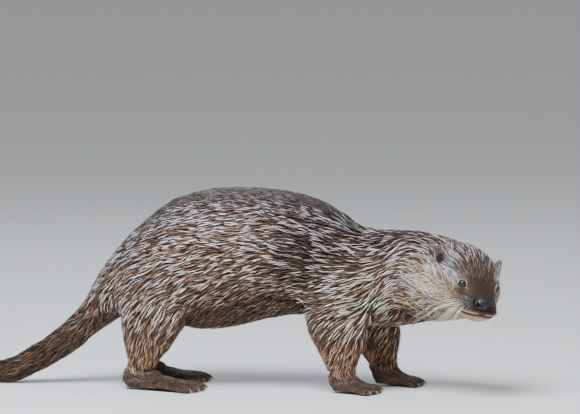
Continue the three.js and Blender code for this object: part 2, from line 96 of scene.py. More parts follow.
# The head's own axes: left from eye to eye, forward from the eyes to the nose less the nose's droop. In them,
# in millimetres, lie the left eye and the nose.
EYE_RIGHT, EYE_LEFT, NOSE = middle("eye_right"), middle("eye_left"), middle("nose")
EYE_PLACE, NOSE_PLACE = np.array([52.5, 27.5, -2.0]), np.array([84, 0, -14.5])
NOSE_DROOP = math.atan2(EYE_PLACE[2] - NOSE_PLACE[2], NOSE_PLACE[0] - EYE_PLACE[0])
LEFT = unit(EYE_LEFT - EYE_RIGHT)
AHEAD = unit(NOSE - (EYE_LEFT + EYE_RIGHT) / 2)
AHEAD = unit(AHEAD - (AHEAD @ LEFT) * LEFT)
FORWARD = AHEAD * math.cos(NOSE_DROOP) + np.cross(AHEAD, LEFT) * math.sin(NOSE_DROOP)
UP = np.cross(FORWARD, LEFT)
HEAD_AXES = np.stack([FORWARD, LEFT, UP], axis=1)
HEAD_AT = (EYE_LEFT + EYE_RIGHT) / 2 - (EYE_PLACE[0] * FORWARD + EYE_PLACE[2] * UP) * MM


def to_head(p):
    """Points of the frame in the head's own axes (forward, left, up), in millimetres."""
    return (p - HEAD_AT) @ HEAD_AXES / MM


def from_head(q):
    """Points in the head's own axes, in millimetres, back in the frame."""
    return HEAD_AT + np.asarray(q, float) @ HEAD_AXES.T * MM


def one_sided(p):
    """Points in the head's own axes, in millimetres, with its right side laid over the left."""
    q = to_head(p)
    q[:, 1] = np.abs(q[:, 1])
    return q


def skull_gap(q):
    """How far points in the head's axes lie from the middle of the skull, in millimetres."""
    return np.linalg.norm(q - SKULL_MIDDLE, axis=1)


def ear_gap(p):
    """How far points lie from the nearer ear, in metres."""
    return np.min([np.linalg.norm(p - at, axis=1) for at, _ in EARS], axis=0)


# Each eye and ear with its side: -1 right, 1 left.
EYES = [(EYE_RIGHT, -1), (EYE_LEFT, 1)]
EAR_PLACE = np.array([2, 48.5, 7])
EARS = [(from_head(EAR_PLACE * (1, way, 1)), way) for way in (-1, 1)]
# The middle of the skull, and how far the forms and the fine triangles of the head reach round it.
SKULL_MIDDLE, SKULL_REACH = np.array([20, 0, -20]), 120
# Half the depth, width and height of the nose pad, and of its seat in the skin, in millimetres.
NOSE_HALF, NOSE_SEAT = (9.2, 13.8, 9.8), (9.5, 14, 10)


def ease(x, low, high):
    """A smooth step: 0 at low, 1 at high, 3t^2 - 2t^3 between, and low may be above high."""
    t = np.clip((x - low) / (high - low), 0, 1)
    return t * t * (3 - 2 * t)


def bell(x, width):
    """A bell curve of height one: exp(-(x / width)^2)."""
    return np.exp(-((x / width) ** 2))


def blend(a, b, share):
    """a where share is 0 and b where it is 1."""
    return a + (b - a) * share


def tinted(a, b, share):
    """Rows of colours or vectors: a where share is 0 and b where it is 1."""
    return np.asarray(a) + (np.asarray(b) - a) * share[:, None]


def ripple(p, size, seed):
    """Smooth random values, mostly from -1 to 1: seven sines with random directions and phases, about size
    apart, added up and divided by 2.6."""
    draw = np.random.default_rng(seed)
    ways = unit(draw.normal(size=(7, 3))) * 2 * math.pi / size * draw.uniform(0.6, 1.5, (7, 1))
    return np.sin(p @ ways.T + draw.uniform(0, 6.28, 7)).sum(1) / 2.6


def to_linear(code):
    """An sRGB hex value as linear red, green and blue."""
    srgb = np.array([int(code[k : k + 2], 16) for k in (1, 3, 5)]) / 255
    return tuple(np.where(srgb <= 0.04045, srgb / 12.92, ((srgb + 0.055) / 1.055) ** 2.4))


# ---------------------------------------------------------------- settings


def length_setting(name, description, default):
    """A length for the sidebar, in metres."""
    return bpy.props.FloatProperty(
        name=name, description=description, default=default, unit="LENGTH", precision=4
    )


def share_setting(name, description, default):
    """A share or a number of times for the sidebar."""
    return bpy.props.FloatProperty(
        name=name, description=description, default=default, subtype="FACTOR", min=0, max=5
    )


def colour_setting(name, description, code):
    """A colour for the sidebar, from its sRGB hex value."""
    return bpy.props.FloatVectorProperty(
        name=name, description=description, default=to_linear(code), subtype="COLOR", size=3, min=0, max=1
    )


class OtterSkin(bpy.types.PropertyGroup):
    """The skin's grain and how deep it lies under the tips of the coat"""

    grain: length_setting("Grain", "Voxel size that the flesh is joined at", 0.0015)
    kept: share_setting("Kept", "Share of the joined faces that stay", 0.2)
    coat_trunk: length_setting("Trunk coat", "Depth of the coat over the trunk", 0.0062)
    coat_neck: length_setting("Neck coat", "Depth of the coat over the neck", 0.005)
    coat_head: length_setting("Head coat", "Depth of the coat over the crown and cheeks", 0.0026)
    coat_face: length_setting("Face coat", "Depth of the coat over the muzzle", 0.001)
    coat_leg: length_setting("Leg coat", "Depth of the coat over the legs", 0.0038)
    coat_foot: length_setting("Foot coat", "Depth of the coat over the feet", 0.0008)
    eyeball: length_setting("Eyeball", "Radius of the eyeball", 0.0064)


class OtterCoat(bpy.types.PropertyGroup):
    """The size and spread of the coat's locks"""

    length: length_setting("Length", "Length of a lock on the flank", 0.0215)
    width: length_setting("Width", "Width of a wet lock on the flank", 0.0023)
    lift: length_setting("Lift", "How far a lock's tip stands off the skin on the flank", 0.0046)
    cover: share_setting("Cover", "How many locks lie over each other", 4.4)
    clump: share_setting("Clump", "How far wet tips draw together", 0.5)
    stray: share_setting("Stray", "How far locks turn from the lie", 0.14)
    # Contrast scales the random tone of the locks, with painted light on the raised ones and painted shade on
    # the low ones.
    contrast: share_setting("Contrast", "How far raised pale and low dark ones differ", 0.85)


class OtterColours(bpy.types.PropertyGroup):
    """The colours of hair, bare skin, horn and eye"""

    back: colour_setting("Back", "Guard hair along the back", "#5e4c40")
    flank: colour_setting("Flank", "Guard hair on the flanks", "#806755")
    belly: colour_setting("Belly", "Belly, legs and tail", "#745740")
    throat: colour_setting("Throat", "Cheeks and throat", "#efd0aa")
    crown: colour_setting("Crown", "Crown and bridge of the muzzle", "#3d2b20")
    # Pale hair round the eyes, with a painted sheen of wet fur there and before the ears.
    eye_ring_and_sheen: colour_setting("Eye ring", "Short blue-grey hair round the eyes", "#bfbfc2")
    pad: colour_setting("Whisker pad", "Short hair of the whisker pads", "#241914")
    paw: colour_setting("Paw", "Bare soles and toe pads", "#4a3d36")
    leather: colour_setting("Leather", "Nose leather and lips", "#1b1615")
    horn: colour_setting("Horn", "Claws", "#4b3b2e")
    iris: colour_setting("Iris", "Iris of the eye", "#1d1009")
    whisker: colour_setting("Whisker", "Whiskers", "#ded9d2")


# ---------------------------------------------------------------- meshes


def vertices_of(mesh):
    """A mesh's points, one row each."""
    co = np.empty(len(mesh.vertices) * 3, np.float32)
    mesh.vertices.foreach_get("co", co)
    return co.reshape(-1, 3).astype(float)


def edges_of(mesh):
    """A mesh's edges, as rows of two points."""
    edges = np.empty(len(mesh.edges) * 2, np.int32)
    mesh.edges.foreach_get("vertices", edges)
    return edges.reshape(-1, 2)


def triangles_of(mesh):
    """A mesh's triangles, as rows of three points."""
    tris = np.empty(len(mesh.loop_triangles) * 3, np.int32)
    mesh.loop_triangles.foreach_get("vertices", tris)
    return tris.reshape(-1, 3)


def set_vertices(mesh, co):
    """Moves a mesh's points to new places."""
    mesh.vertices.foreach_set("co", np.ascontiguousarray(co, np.float32).ravel())
    mesh.update()


def neighbours(count, edges):
    """Row v lists the vertices that share an edge with v, and v itself fills the spare places."""
    both = np.concatenate([edges, edges[:, ::-1]])
    both = both[np.argsort(both[:, 0], kind="stable")]
    place = np.arange(len(both)) - np.searchsorted(both[:, 0], np.arange(count))[both[:, 0]]
    table = np.repeat(np.arange(count)[:, None], RING, axis=1)
    kept = both[place < RING]
    table[kept[:, 0], place[place < RING]] = kept[:, 1]
    return table


def ring_mean(values, ring):
    """The mean of each vertex's neighbours."""
    spare = (ring == np.arange(len(ring))[:, None]).sum(1)[:, None]
    return (values[ring].sum(1) - spare * values) / np.maximum(RING - spare, 1)


def relaxed(co, ring, passes, strength):
    """Each pass moves a point half way to the mean of its ring and then a little more than that back, which
    takes facets off and keeps the bulk."""
    for _ in range(passes):
        for pull in (0.5, -0.515):
            co = co + (ring_mean(co, ring) - co) * pull * strength[:, None]
    return co


def unfolded(co, ring, tris, share):
    """Evens out the sharp folds where a leg meets the body: points whose normal differs from their
    neighbours' move to the mean of their ring, and so do the points five rings round them."""
    for _ in range(4):
        normal = vertex_normals(co, tris)
        fold = share * ease(1 - (normal * unit(ring_mean(normal, ring))).sum(1), 0.015, 0.06)
        for _ in range(5):
            fold = np.maximum(fold, 0.9 * fold[ring].max(1))
        for _ in range(20):
            co = co + (ring_mean(co, ring) - co) * 0.6 * fold[:, None]
    return co


def vertex_normals(co, tris):
    """The sum of each vertex's face normals, by area, at length one."""
    face = np.cross(co[tris[:, 1]] - co[tris[:, 0]], co[tris[:, 2]] - co[tris[:, 0]])
    total = [np.bincount(tris.ravel(), np.repeat(face[:, k], 3), len(co)) for k in range(3)]
    return unit(np.stack(total, 1))


def add_mesh(name, co, faces, attributes=None, uv=None):
    """A new object from arrays: faces is one array of equal corners per row, attributes are colours per
    vertex and uv is a place per corner, for the OFBake map."""
    mesh = bpy.data.meshes.new(name)
    count, corners = faces.shape
    mesh.vertices.add(len(co))
    mesh.vertices.foreach_set("co", np.ascontiguousarray(co, np.float32).ravel())
    mesh.loops.add(count * corners)
    mesh.loops.foreach_set("vertex_index", np.ascontiguousarray(faces, np.int32).ravel())
    mesh.polygons.add(count)
    mesh.polygons.foreach_set("loop_start", np.arange(0, count * corners, corners, dtype=np.int32))
    mesh.polygons.foreach_set("use_smooth", np.ones(count, bool))
    mesh.update(calc_edges=True)
    for key, values in (attributes or {}).items():
        set_colours(mesh, key, values)
    if uv is not None:
        layer = mesh.uv_layers.new(name="OFBake")
        layer.uv.foreach_set("vector", np.ascontiguousarray(uv, np.float32).ravel())
    obj = bpy.data.objects.new(name, mesh)
    bpy.context.scene.collection.objects.link(obj)
    return obj


def set_colours(mesh, key, values):
    """Stores three numbers per vertex as a colour attribute that a material reads by name."""
    layer = mesh.color_attributes.new(key, "FLOAT_COLOR", "POINT")
    full = np.concatenate([values, np.ones((len(values), 1))], axis=1)
    layer.data.foreach_set("color", full.astype(np.float32).ravel())


def ball_grid(rows, columns):
    """Angle from the pole and turn about it, at each point of a ball's grid."""
    angles = np.linspace(0, math.pi, rows), np.linspace(0, 2 * math.pi, columns + 1)[:-1]
    return np.meshgrid(*angles, indexing="ij")


def grid_faces(rows, columns, closed):
    """Quads between neighbouring rows and columns of a grid of points, with its columns joined round if
    closed."""
    i, j = np.meshgrid(np.arange(rows - 1), np.arange(columns if closed else columns - 1), indexing="ij")
    after = (j + 1) % columns
    quads = [i * columns + j, i * columns + after, (i + 1) * columns + after, (i + 1) * columns + j]
    return np.stack(quads, -1).reshape(-1, 4)


def merged(obj):
    """Closes poles and seams by merging points that coincide, and turns the faces outwards."""
    body = bmesh.new()
    body.from_mesh(obj.data)
    bmesh.ops.remove_doubles(body, verts=body.verts, dist=1e-6)
    bmesh.ops.dissolve_degenerate(body, edges=body.edges, dist=1e-7)
    bmesh.ops.recalc_face_normals(body, faces=body.faces)
    body.to_mesh(obj.data)
    body.free()
    return obj


def placed(obj, finish, replaced=()):
    """Gives a piece its material, ties it to the otter's one body and hides the nodes that it replaces."""
    obj.data.materials.append(finish)
    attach(obj, "root")
    if replaced:
        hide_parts(*replaced)
    return obj


# ---------------------------------------------------------------- materials


# Settings of a Mix node that blends two colours, and of one that multiplies them.
COLOUR_MIX = {"out": 2, "data_type": "RGBA"}
COLOUR_PRODUCT = {"out": 2, "data_type": "RGBA", "blend_type": "MULTIPLY"}


def wired(tree, node, inputs):
    """Sets a node's sockets to values, where a tuple is a colour, or links them to other nodes' outputs."""
    for key, value in inputs.items():
        if isinstance(value, bpy.types.NodeSocket):
            tree.links.new(value, node.inputs[key])
        elif isinstance(value, tuple):
            node.inputs[key].default_value = (*value, 1)
        else:
            node.inputs[key].default_value = value


def add_node(tree, kind, inputs, out=0, stops=(), **settings):
    """One shader node with its settings, its sockets and, on a colour ramp, its stops, each a place and a
    grey or a colour. Gives one output, or all of them if out is None."""
    made = tree.nodes.new("ShaderNode" + kind)
    for key, value in settings.items():
        setattr(made, key, value)
    wired(tree, made, inputs)
    if stops:
        band = made.color_ramp.elements
        while len(band) < len(stops):
            band.new(0.5)
        for element, (place, value) in zip(band, stops):
            element.position = place
            element.color = (*value, 1) if isinstance(value, tuple) else (value, value, value, 1)
    return made.outputs if out is None else made.outputs[out]


def material(name):
    """A new material: gives it, its tree and its Principled shader."""
    made = bpy.data.materials.new(name)
    made.use_nodes = True
    return made, made.node_tree, made.node_tree.nodes["Principled BSDF"]


def stored_numbers(tree, name):
    """The three numbers, X, Y and Z, that a piece stores at each vertex under a name."""
    stored = add_node(tree, "Attribute", {}, out="Vector", attribute_name=name)
    return add_node(tree, "SeparateXYZ", {"Vector": stored}, out=None)


def wet_fur():
    """Wet guard hair: fine strands stuck into flat pointed locks. The root and both edges are dark, which is
    painted shade where the locks overlap and part. The ridge is paler and cooler, which is a painted
    highlight, and the tip is paler. Water gives the raised locks a soft gloss. The strands are 0.25 mm apart,
    in colour and bump."""
    made, tree, shader = material("wet_guard_hair")
    # This attribute holds each lock's colour together with its painted shade and painted sheen.
    marking_and_painted_light = add_node(tree, "Attribute", {}, attribute_name="marking_and_painted_light")
    part = stored_numbers(tree, "strand")
    side = add_node(tree, "Math", {0: part["Y"], 1: 9.0}, operation="MULTIPLY")
    length = add_node(tree, "Math", {0: part["X"], 1: 1.2}, operation="MULTIPLY")
    lock = add_node(tree, "Math", {0: part["Z"], 1: 97.0}, operation="MULTIPLY")
    hairs = add_node(tree, "CombineXYZ", {"X": side, "Y": length, "Z": lock})
    fibre = add_node(tree, "TexNoise", {"Vector": hairs, "Scale": 1.0, "Detail": 3.0, "Roughness": 0.6})
    # Darker root and edges: painted shade of the overlaps and gaps between locks. Paler, bluer ridge: painted
    # highlight.
    under, above, edge, ridge = (0.28, 0.2, 0.15), (0.75, 0.68, 0.64), (0.48, 0.37, 0.3), (1.25, 1.28, 1.34)
    tone = marking_and_painted_light
    for factor, stops in (
        (part["X"], [(0.0, under), (0.25, above), (0.6, 1.0), (1.0, 1.25)]),
        (part["Y"], [(0.0, edge), (0.3, 0.95), (0.5, ridge), (0.7, 0.95), (1.0, edge)]),
        (fibre, [(0.3, 0.65), (0.7, 1.3)]),
    ):
        shade = add_node(tree, "ValToRGB", {"Fac": factor}, stops=stops)
        tone = add_node(tree, "Mix", {0: 1.0, 6: tone, 7: shade}, **COLOUR_PRODUCT)
    inputs = {
        "Base Color": tone,
        "Roughness": add_node(tree, "ValToRGB", {"Fac": fibre}, stops=[(0.2, 0.3), (0.8, 0.48)]),
        "IOR": 1.5,
        "Specular IOR Level": 0.3,
        "Coat Weight": add_node(tree, "ValToRGB", {"Fac": part["Z"]}, stops=[(0.5, 0.1), (0.95, 0.9)]),
        "Coat Roughness": 0.22,
        "Normal": add_node(tree, "Bump", {"Height": fibre, "Strength": 0.45, "Distance": 0.0003}),
    }
    wired(tree, shader, inputs)
    return made


def short_fur():
    """Skin under the coat and the velvet of the face: the marking, broken by dark gaps between hairs that are
    drawn 1 mm apart, with hair bump; bare patches (lips, lids, soles) are smoother."""
    made, tree, shader = material("short_fur_skin")
    marking_and_painted_light = add_node(tree, "Attribute", {}, attribute_name="marking_and_painted_light")
    bare = add_node(tree, "Attribute", {}, out="Fac", attribute_name="bare")
    place = add_node(tree, "TexCoord", {}, out="Object")
    pile = add_node(tree, "TexNoise", {"Vector": place, "Scale": 900.0, "Detail": 3.0, "Roughness": 0.65})
    gaps = add_node(tree, "ValToRGB", {"Fac": pile}, stops=[(0.36, 0.42), (0.62, 1.1)])
    furry = add_node(tree, "Mix", {0: 1.0, 6: marking_and_painted_light, 7: gaps}, **COLOUR_PRODUCT)
    hairy = add_node(tree, "ValToRGB", {"Fac": bare}, stops=[(0.0, 1.0), (1.0, 0.15)])
    height = add_node(tree, "Math", {0: pile, 1: hairy}, operation="MULTIPLY")
    inputs = {
        "Base Color": add_node(tree, "Mix", {0: bare, 6: furry, 7: marking_and_painted_light}, **COLOUR_MIX),
        "Roughness": add_node(tree, "ValToRGB", {"Fac": bare}, stops=[(0.0, 0.62), (1.0, 0.38)]),
        "Specular IOR Level": 0.22,
        "Normal": add_node(tree, "Bump", {"Height": height, "Strength": 0.6, "Distance": 0.0006}),
    }
    wired(tree, shader, inputs)
    return made


def nose_leather(colours):
    """Wet nose leather: pebbled skin, cells about 0.6 mm across, near black with a wet gloss, and black
    inside the nostrils, painted shade of their depth."""
    made, tree, shader = material("nose_leather")
    place = add_node(tree, "TexCoord", {}, out="Object")
    hole = add_node(tree, "Attribute", {}, out="Fac", attribute_name="hole")
    cells = add_node(tree, "TexVoronoi", {"Vector": place, "Scale": 1500.0}, feature="DISTANCE_TO_EDGE")
    cloud = add_node(tree, "TexNoise", {"Vector": place, "Scale": 180.0, "Detail": 2.0})
    patchy = add_node(tree, "ValToRGB", {"Fac": cloud}, stops=[(0.35, 0.0), (0.7, 1.0)])
    worn = to_linear("#2c2624")
    tone = add_node(tree, "Mix", {0: patchy, 6: tuple(colours.leather), 7: worn}, **COLOUR_MIX)
    groove = add_node(tree, "ValToRGB", {"Fac": cells}, stops=[(0.0, 0.5), (0.12, 1.0)])
    # Black in the nostrils: painted shade.
    dark = add_node(tree, "ValToRGB", {"Fac": hole}, stops=[(0.25, 1.0), (0.75, 0.08)])
    for shade in (groove, dark):
        tone = add_node(tree, "Mix", {0: 1.0, 6: tone, 7: shade}, **COLOUR_PRODUCT)
    inputs = {
        "Base Color": tone,
        "Roughness": add_node(tree, "ValToRGB", {"Fac": cloud}, stops=[(0.3, 0.4), (0.7, 0.56)]),
        "Specular IOR Level": 0.3,
        "Coat Weight": 0.2,
        "Coat Roughness": 0.2,
        "Normal": add_node(tree, "Bump", {"Height": groove, "Strength": 0.6, "Distance": 0.0002}),
    }
    wired(tree, shader, inputs)
    return made


def wet_eye(colours):
    """A living eye: clear wet cornea over a dark brown iris, round black pupil and dark sclera, by the angle
    from the gaze."""
    made, tree, shader = material("wet_eye")
    part = stored_numbers(tree, "gaze")
    side = add_node(tree, "Math", {0: part["Y"], 1: 14.0}, operation="MULTIPLY")
    high = add_node(tree, "Math", {0: part["Z"], 1: 14.0}, operation="MULTIPLY")
    spokes = add_node(tree, "CombineXYZ", {"X": side, "Y": high, "Z": part["X"]})
    fibre = add_node(tree, "TexNoise", {"Vector": spokes, "Scale": 1.5, "Detail": 3.0})
    black, sclera, iris = to_linear("#050404"), to_linear("#2d221d"), tuple(colours.iris)
    rings = [(0.0, black), (0.17, black), (0.22, iris), (0.4, iris), (0.46, black), (0.6, sclera)]
    base = add_node(tree, "ValToRGB", {"Fac": part["X"]}, stops=rings)
    streaks = add_node(tree, "ValToRGB", {"Fac": fibre}, stops=[(0.3, 0.6), (0.7, 1.5)])
    inputs = {
        "Base Color": add_node(tree, "Mix", {0: 1.0, 6: base, 7: streaks}, **COLOUR_PRODUCT),
        "Roughness": 0.2,
        "Specular IOR Level": 0.2,
        "Coat Weight": 0.7,
        "Coat Roughness": 0.03,
    }
    wired(tree, shader, inputs)
    return made


def claw_horn(colours):
    """Claw keratin: smooth translucent horn, darker to the root, with fine growth lines along it."""
    made, tree, shader = material("claw_horn")
    part = stored_numbers(tree, "strand")
    side = add_node(tree, "Math", {0: part["Y"], 1: 30.0}, operation="MULTIPLY")
    lines = add_node(tree, "CombineXYZ", {"X": side, "Y": part["X"], "Z": part["Z"]})
    growth = add_node(tree, "TexNoise", {"Vector": lines, "Scale": 1.0, "Detail": 2.0})
    along = add_node(tree, "ValToRGB", {"Fac": part["X"]}, stops=[(0.1, 0.0), (1.0, 1.0)])
    horn = add_node(tree, "Mix", {0: along, 6: tuple(colours.horn), 7: to_linear("#9a8468")}, **COLOUR_MIX)
    streaks = add_node(tree, "ValToRGB", {"Fac": growth}, stops=[(0.3, 0.75), (0.7, 1.2)])
    inputs = {
        "Base Color": add_node(tree, "Mix", {0: 1.0, 6: horn, 7: streaks}, **COLOUR_PRODUCT),
        "Roughness": add_node(tree, "ValToRGB", {"Fac": growth}, stops=[(0.3, 0.3), (0.7, 0.48)]),
        "Specular IOR Level": 0.5,
        "Coat Weight": 0.2,
    }
    wired(tree, shader, inputs)
    return made


def whisker_hair(colours):
    """Whisker: stiff pale tapered hair with a satin gloss, darker at the root."""
    made, tree, shader = material("whisker_hair")
    part = stored_numbers(tree, "strand")
    along = add_node(tree, "ValToRGB", {"Fac": part["X"]}, stops=[(0.0, 0.0), (0.15, 1.0)])
    root = to_linear("#6b5a4d")
    tone = add_node(tree, "Mix", {0: along, 6: root, 7: tuple(colours.whisker)}, **COLOUR_MIX)
    wired(tree, shader, {"Base Color": tone, "Roughness": 0.3, "Specular IOR Level": 0.6})
    return made


# ---------------------------------------------------------------- the skin

# The finished skin's arrays, which the coat and the whiskers grow from: points, triangles, neighbours,
# normals, colour, bareness, map places and the lie of the hair.
SHAPE = {}


def zones(p, normal):
    """Shares from 0 to 1 of each part of the body, by smooth steps on place and on the head's own axes. Top
    and low are skin that faces up and down, and the hollow is the dip behind the shoulder, where shade is
    painted into the coat."""
    q = to_head(p)
    near = ease(skull_gap(q), 135, 105)
    tail = ease(p[:, 0], -0.12, -0.19)
    ground = (1 - tail) * (1 - near)
    z = {
        "head": ease(q[:, 0], -55, -20) * near,
        "cheek": ease(q[:, 2], 2, -14) * ease(q[:, 0], -40, -10) * near,
        "face": ease(q[:, 0], 12, 48) * near,
        "muzzle": ease(q[:, 0], 50, 66) * near,
        "ear": ease(ear_gap(p), 0.017, 0.011),
        "tail": tail,
        "tip": ease(p[:, 0], -0.22, -0.46),
        "leg": ease(p[:, 2], 0.112, 0.07) * ground,
        "foot": ease(p[:, 2], 0.04, 0.022) * ground,
        "sole": ease(p[:, 2], 0.006, 0.003) * ground * (normal[:, 2] < -0.3),
        "low": ease(normal[:, 2], 0.15, -0.75),
        "top": ease(normal[:, 2], 0.35, 0.85),
        # The patch behind the shoulder where shade is painted.
        "hollow": bell(np.linalg.norm((p - (0.185, 0, 0.215)) * (1, 0, 1), axis=1), 0.062),
    }
    z["neck"] = ease(p[:, 0], 0.2, 0.3) * (1 - z["head"]) * (1 - z["leg"])
    return z


def coat_depth(sizes, z):
    """How deep the skin lies under the coat's tips, in metres."""
    deep = blend(sizes.coat_trunk, sizes.coat_neck, z["neck"])
    deep = blend(deep, 0.8 * sizes.coat_neck, z["tail"])
    deep = blend(deep, 0.0018, z["tip"])
    deep = blend(deep, sizes.coat_leg, z["leg"])
    deep = blend(deep, sizes.coat_foot, z["foot"])
    deep = deep * (1 - 0.5 * z["top"] - 0.35 * z["low"])
    deep = blend(deep, sizes.coat_head, z["head"])
    deep = blend(deep, sizes.coat_face, z["face"])
    deep = blend(deep, 0.0001, z["ear"])
    return blend(deep, 0.0, z["sole"])


def joined_flesh(grain):
    """One closed mesh round all the flesh, eyes and nose: copies of their solids joined on a voxel grid,
    which closes the thin cuts between them."""
    body = bmesh.new()
    for name in FLESH + ["eye_right", "eye_left", "nose"]:
        body.from_mesh(NODES[name].data)
    bmesh.ops.remove_doubles(body, verts=body.verts, dist=1e-6)
    mesh = bpy.data.meshes.new("skin")
    body.to_mesh(mesh)
    body.free()
    obj = bpy.data.objects.new("skin", mesh)
    bpy.context.scene.collection.objects.link(obj)
    remesh = obj.modifiers.new("join", "REMESH")
    remesh.mode, remesh.voxel_size = "VOXEL", grain
    return applied(obj)


def applied(obj):
    """Replaces an object's mesh with the result of its modifiers."""
    mesh = bpy.data.meshes.new_from_object(obj.evaluated_get(bpy.context.evaluated_depsgraph_get()))
    obj.modifiers.clear()
    obj.data = mesh
    return obj


def thinned(obj, kept):
    """Takes faces away on the body before the head, whose weight rises from 0 to 1 in ten steps."""
    q = to_head(vertices_of(obj.data))
    weight = ease(q[:, 0], -45, -10) * (skull_gap(q) < SKULL_REACH)
    group = obj.vertex_groups.new(name="head")
    for step in range(11):
        group.add(np.flatnonzero(np.round(weight * 10) == step).tolist(), step / 10, "REPLACE")
    fewer = obj.modifiers.new("thin", "DECIMATE")
    fewer.ratio, fewer.vertex_group, fewer.invert_vertex_group = kept, "head", True
    fewer.vertex_group_factor = 10
    return applied(obj)


def island_labels(count, edges):
    """One number per connected piece: each point takes its neighbours' lowest label until none changes."""
    label = np.arange(count)
    while True:
        low = np.minimum(label[edges[:, 0]], label[edges[:, 1]])
        new = label.copy()
        np.minimum.at(new, edges[:, 0], low)
        np.minimum.at(new, edges[:, 1], low)
        new = new[new]
        if (new == label).all():
            return label
        label = new


def without_specks(mesh):
    """Keeps only the largest connected piece of a mesh."""
    label = island_labels(len(mesh.vertices), edges_of(mesh))
    names, counts = np.unique(label, return_counts=True)
    body = bmesh.new()
    body.from_mesh(mesh)
    body.verts.ensure_lookup_table()
    stray = np.flatnonzero(label != names[counts.argmax()])
    bmesh.ops.delete(body, geom=[body.verts[k] for k in stray], context="VERTS")
    body.to_mesh(mesh)
    body.free()


def finer_face(mesh):
    """Splits the triangles round the eyes, nose, mouth and ears in four."""
    co = vertices_of(mesh)
    q = one_sided(co)
    eye = np.linalg.norm(q - EYE_PLACE, axis=1) < 19
    mouth = (q[:, 0] > 48) & (np.abs(q[:, 2] + 32) < 16) | (q[:, 0] > 72)
    muzzle = np.linalg.norm(q - (70, 0, -25), axis=1) < 50
    fine = eye | mouth & muzzle | (ear_gap(co) < 0.016)
    both = np.flatnonzero(fine[edges_of(mesh)].all(1))
    body = bmesh.new()
    body.from_mesh(mesh)
    body.edges.ensure_lookup_table()
    bmesh.ops.subdivide_edges(body, edges=[body.edges[k] for k in both], cuts=1)
    bmesh.ops.triangulate(body, faces=body.faces)
    body.to_mesh(mesh)
    body.free()


def sculpted(co, normal, eyeball):
    """The face's own forms, each a bell or a smooth step along the normal in millimetres: eye sockets,
    brows, the crease under the eye, full whisker pads, the lip line under them and the seat of the nose. The
    skin behind the nose sinks, and the lids wrap the eyeball round their opening."""
    side = one_sided(co)
    x, y, z = side.T
    move = -1.2 * bell(np.linalg.norm(side - EYE_PLACE, axis=1) - 12, 5)
    move += 1.3 * bell(np.linalg.norm(side - (45, 24, 7), axis=1), 8)
    move -= 1.9 * bell(crease(side), 3.2) * ease(x, 50, 58) * ease(x, 84, 76)
    move += 1.9 * bell(np.linalg.norm(side - (75, 15, -29), axis=1), 10)
    move -= 1.0 * bell(x - 56 + 0.4 * (z + 26), 4) * ease(z, -42, -34) * ease(z, -10, -18)
    lip, line = lip_line(side)
    move -= 1.8 * bell(lip + 0.4, 1.5) * line
    move += 1.2 * bell(lip - 3.4, 2.8) * line
    move -= 1.3 * ease(lip, -1.0, -4.0) * ease(lip, -14, -7) * line
    move -= 0.9 * bell(y, 1.2) * ease(x, 78, 84) * ease(z, -24, -28) * ease(z, -40, -34)
    move -= 1.0 * bell(np.linalg.norm((side - NOSE_PLACE) / NOSE_SEAT, axis=1) - 1.08, 0.12)
    co = co + normal * (move * (skull_gap(side) < SKULL_REACH) * MM)[:, None]
    behind = ease(np.linalg.norm((to_head(co) - NOSE_PLACE) / NOSE_SEAT, axis=1), 1.14, 0.96)
    co = co - FORWARD * (9 * behind * MM)[:, None]
    for at, way in EYES:
        off = co - at
        away = np.linalg.norm(off, axis=1)
        near = away < 0.022
        gap, facing = opening(co[near], at, way)
        lid = eyeball + 0.0007 + 0.0005 * bell(gap - 1.12, 0.13)
        wanted = np.where(gap < 0.98, eyeball - 0.0014, lid)
        new = np.where(facing > -0.2, blend(wanted, away[near], ease(gap, 1.18, 1.8)), away[near])
        co[near] = at + unit(off[near]) * new[:, None]
    return co


def crease(side):
    """How far points of the head, in millimetres, lie above the crease that runs from the eye's inner corner
    forward over the whisker pad."""
    return side[:, 2] + 14.5 - 0.22 * (side[:, 0] - 62)


def lip_line(side):
    """How far points of the head lie above the line of the closed mouth, and the share of that line there."""
    x, z = side[:, 0], side[:, 2]
    lip = z + 39.5 - 0.16 * (x - 44) - 0.05 * (x - 62) * ease(x, 62, 80)
    return lip, ease(x, 40, 50) * ease(z, -54, -48)


def opening(p, at, way):
    """Where points lie in the opening between the lids, 0 at the gaze and 1 at the lid's edge, a rounded
    diamond with the inner corner lowest, and how far they face the gaze."""
    gaze, across, lift = eye_axes(way)
    ray = unit(p - at)
    wide, tall = np.arctan2(ray @ across, ray @ gaze), np.arctan2(ray @ lift, ray @ gaze)
    tall = tall + 0.16 * wide
    tall = np.where(tall > 0, tall / 0.84, tall / 0.8)
    return (np.abs(wide / 1.02) ** 2 + np.abs(tall) ** 2) ** 0.5, ray @ gaze


def eye_axes(way):
    """Gaze, across (towards the nose) and lift of the right eye (-1) or left eye (1)."""
    gaze = unit(HEAD_AXES @ np.array([0.62, 0.66 * way, 0.36]))
    across = unit(FORWARD - (FORWARD @ gaze) * gaze)
    lift = np.cross(gaze, across) * way
    return gaze, across, lift


def ear_bowl(p, normal, at, way):
    """Shares from 0 to 1 of an ear's hollow and of its rim."""
    facing = unit(HEAD_AXES @ np.array([0.6, 0.78 * way, 0.18]))
    high = unit(np.array([0, 0, 1.0]) - facing[2] * facing)
    off = (p - at) / MM
    spot = np.hypot(off @ np.cross(high, facing) / 10, off @ high / 14)
    ahead = ease(off @ facing, -3.5, -1.0)
    return ease(spot, 0.76, 0.56) * ahead * (normal @ facing > 0.2), bell(spot - 1.02, 0.2) * ahead


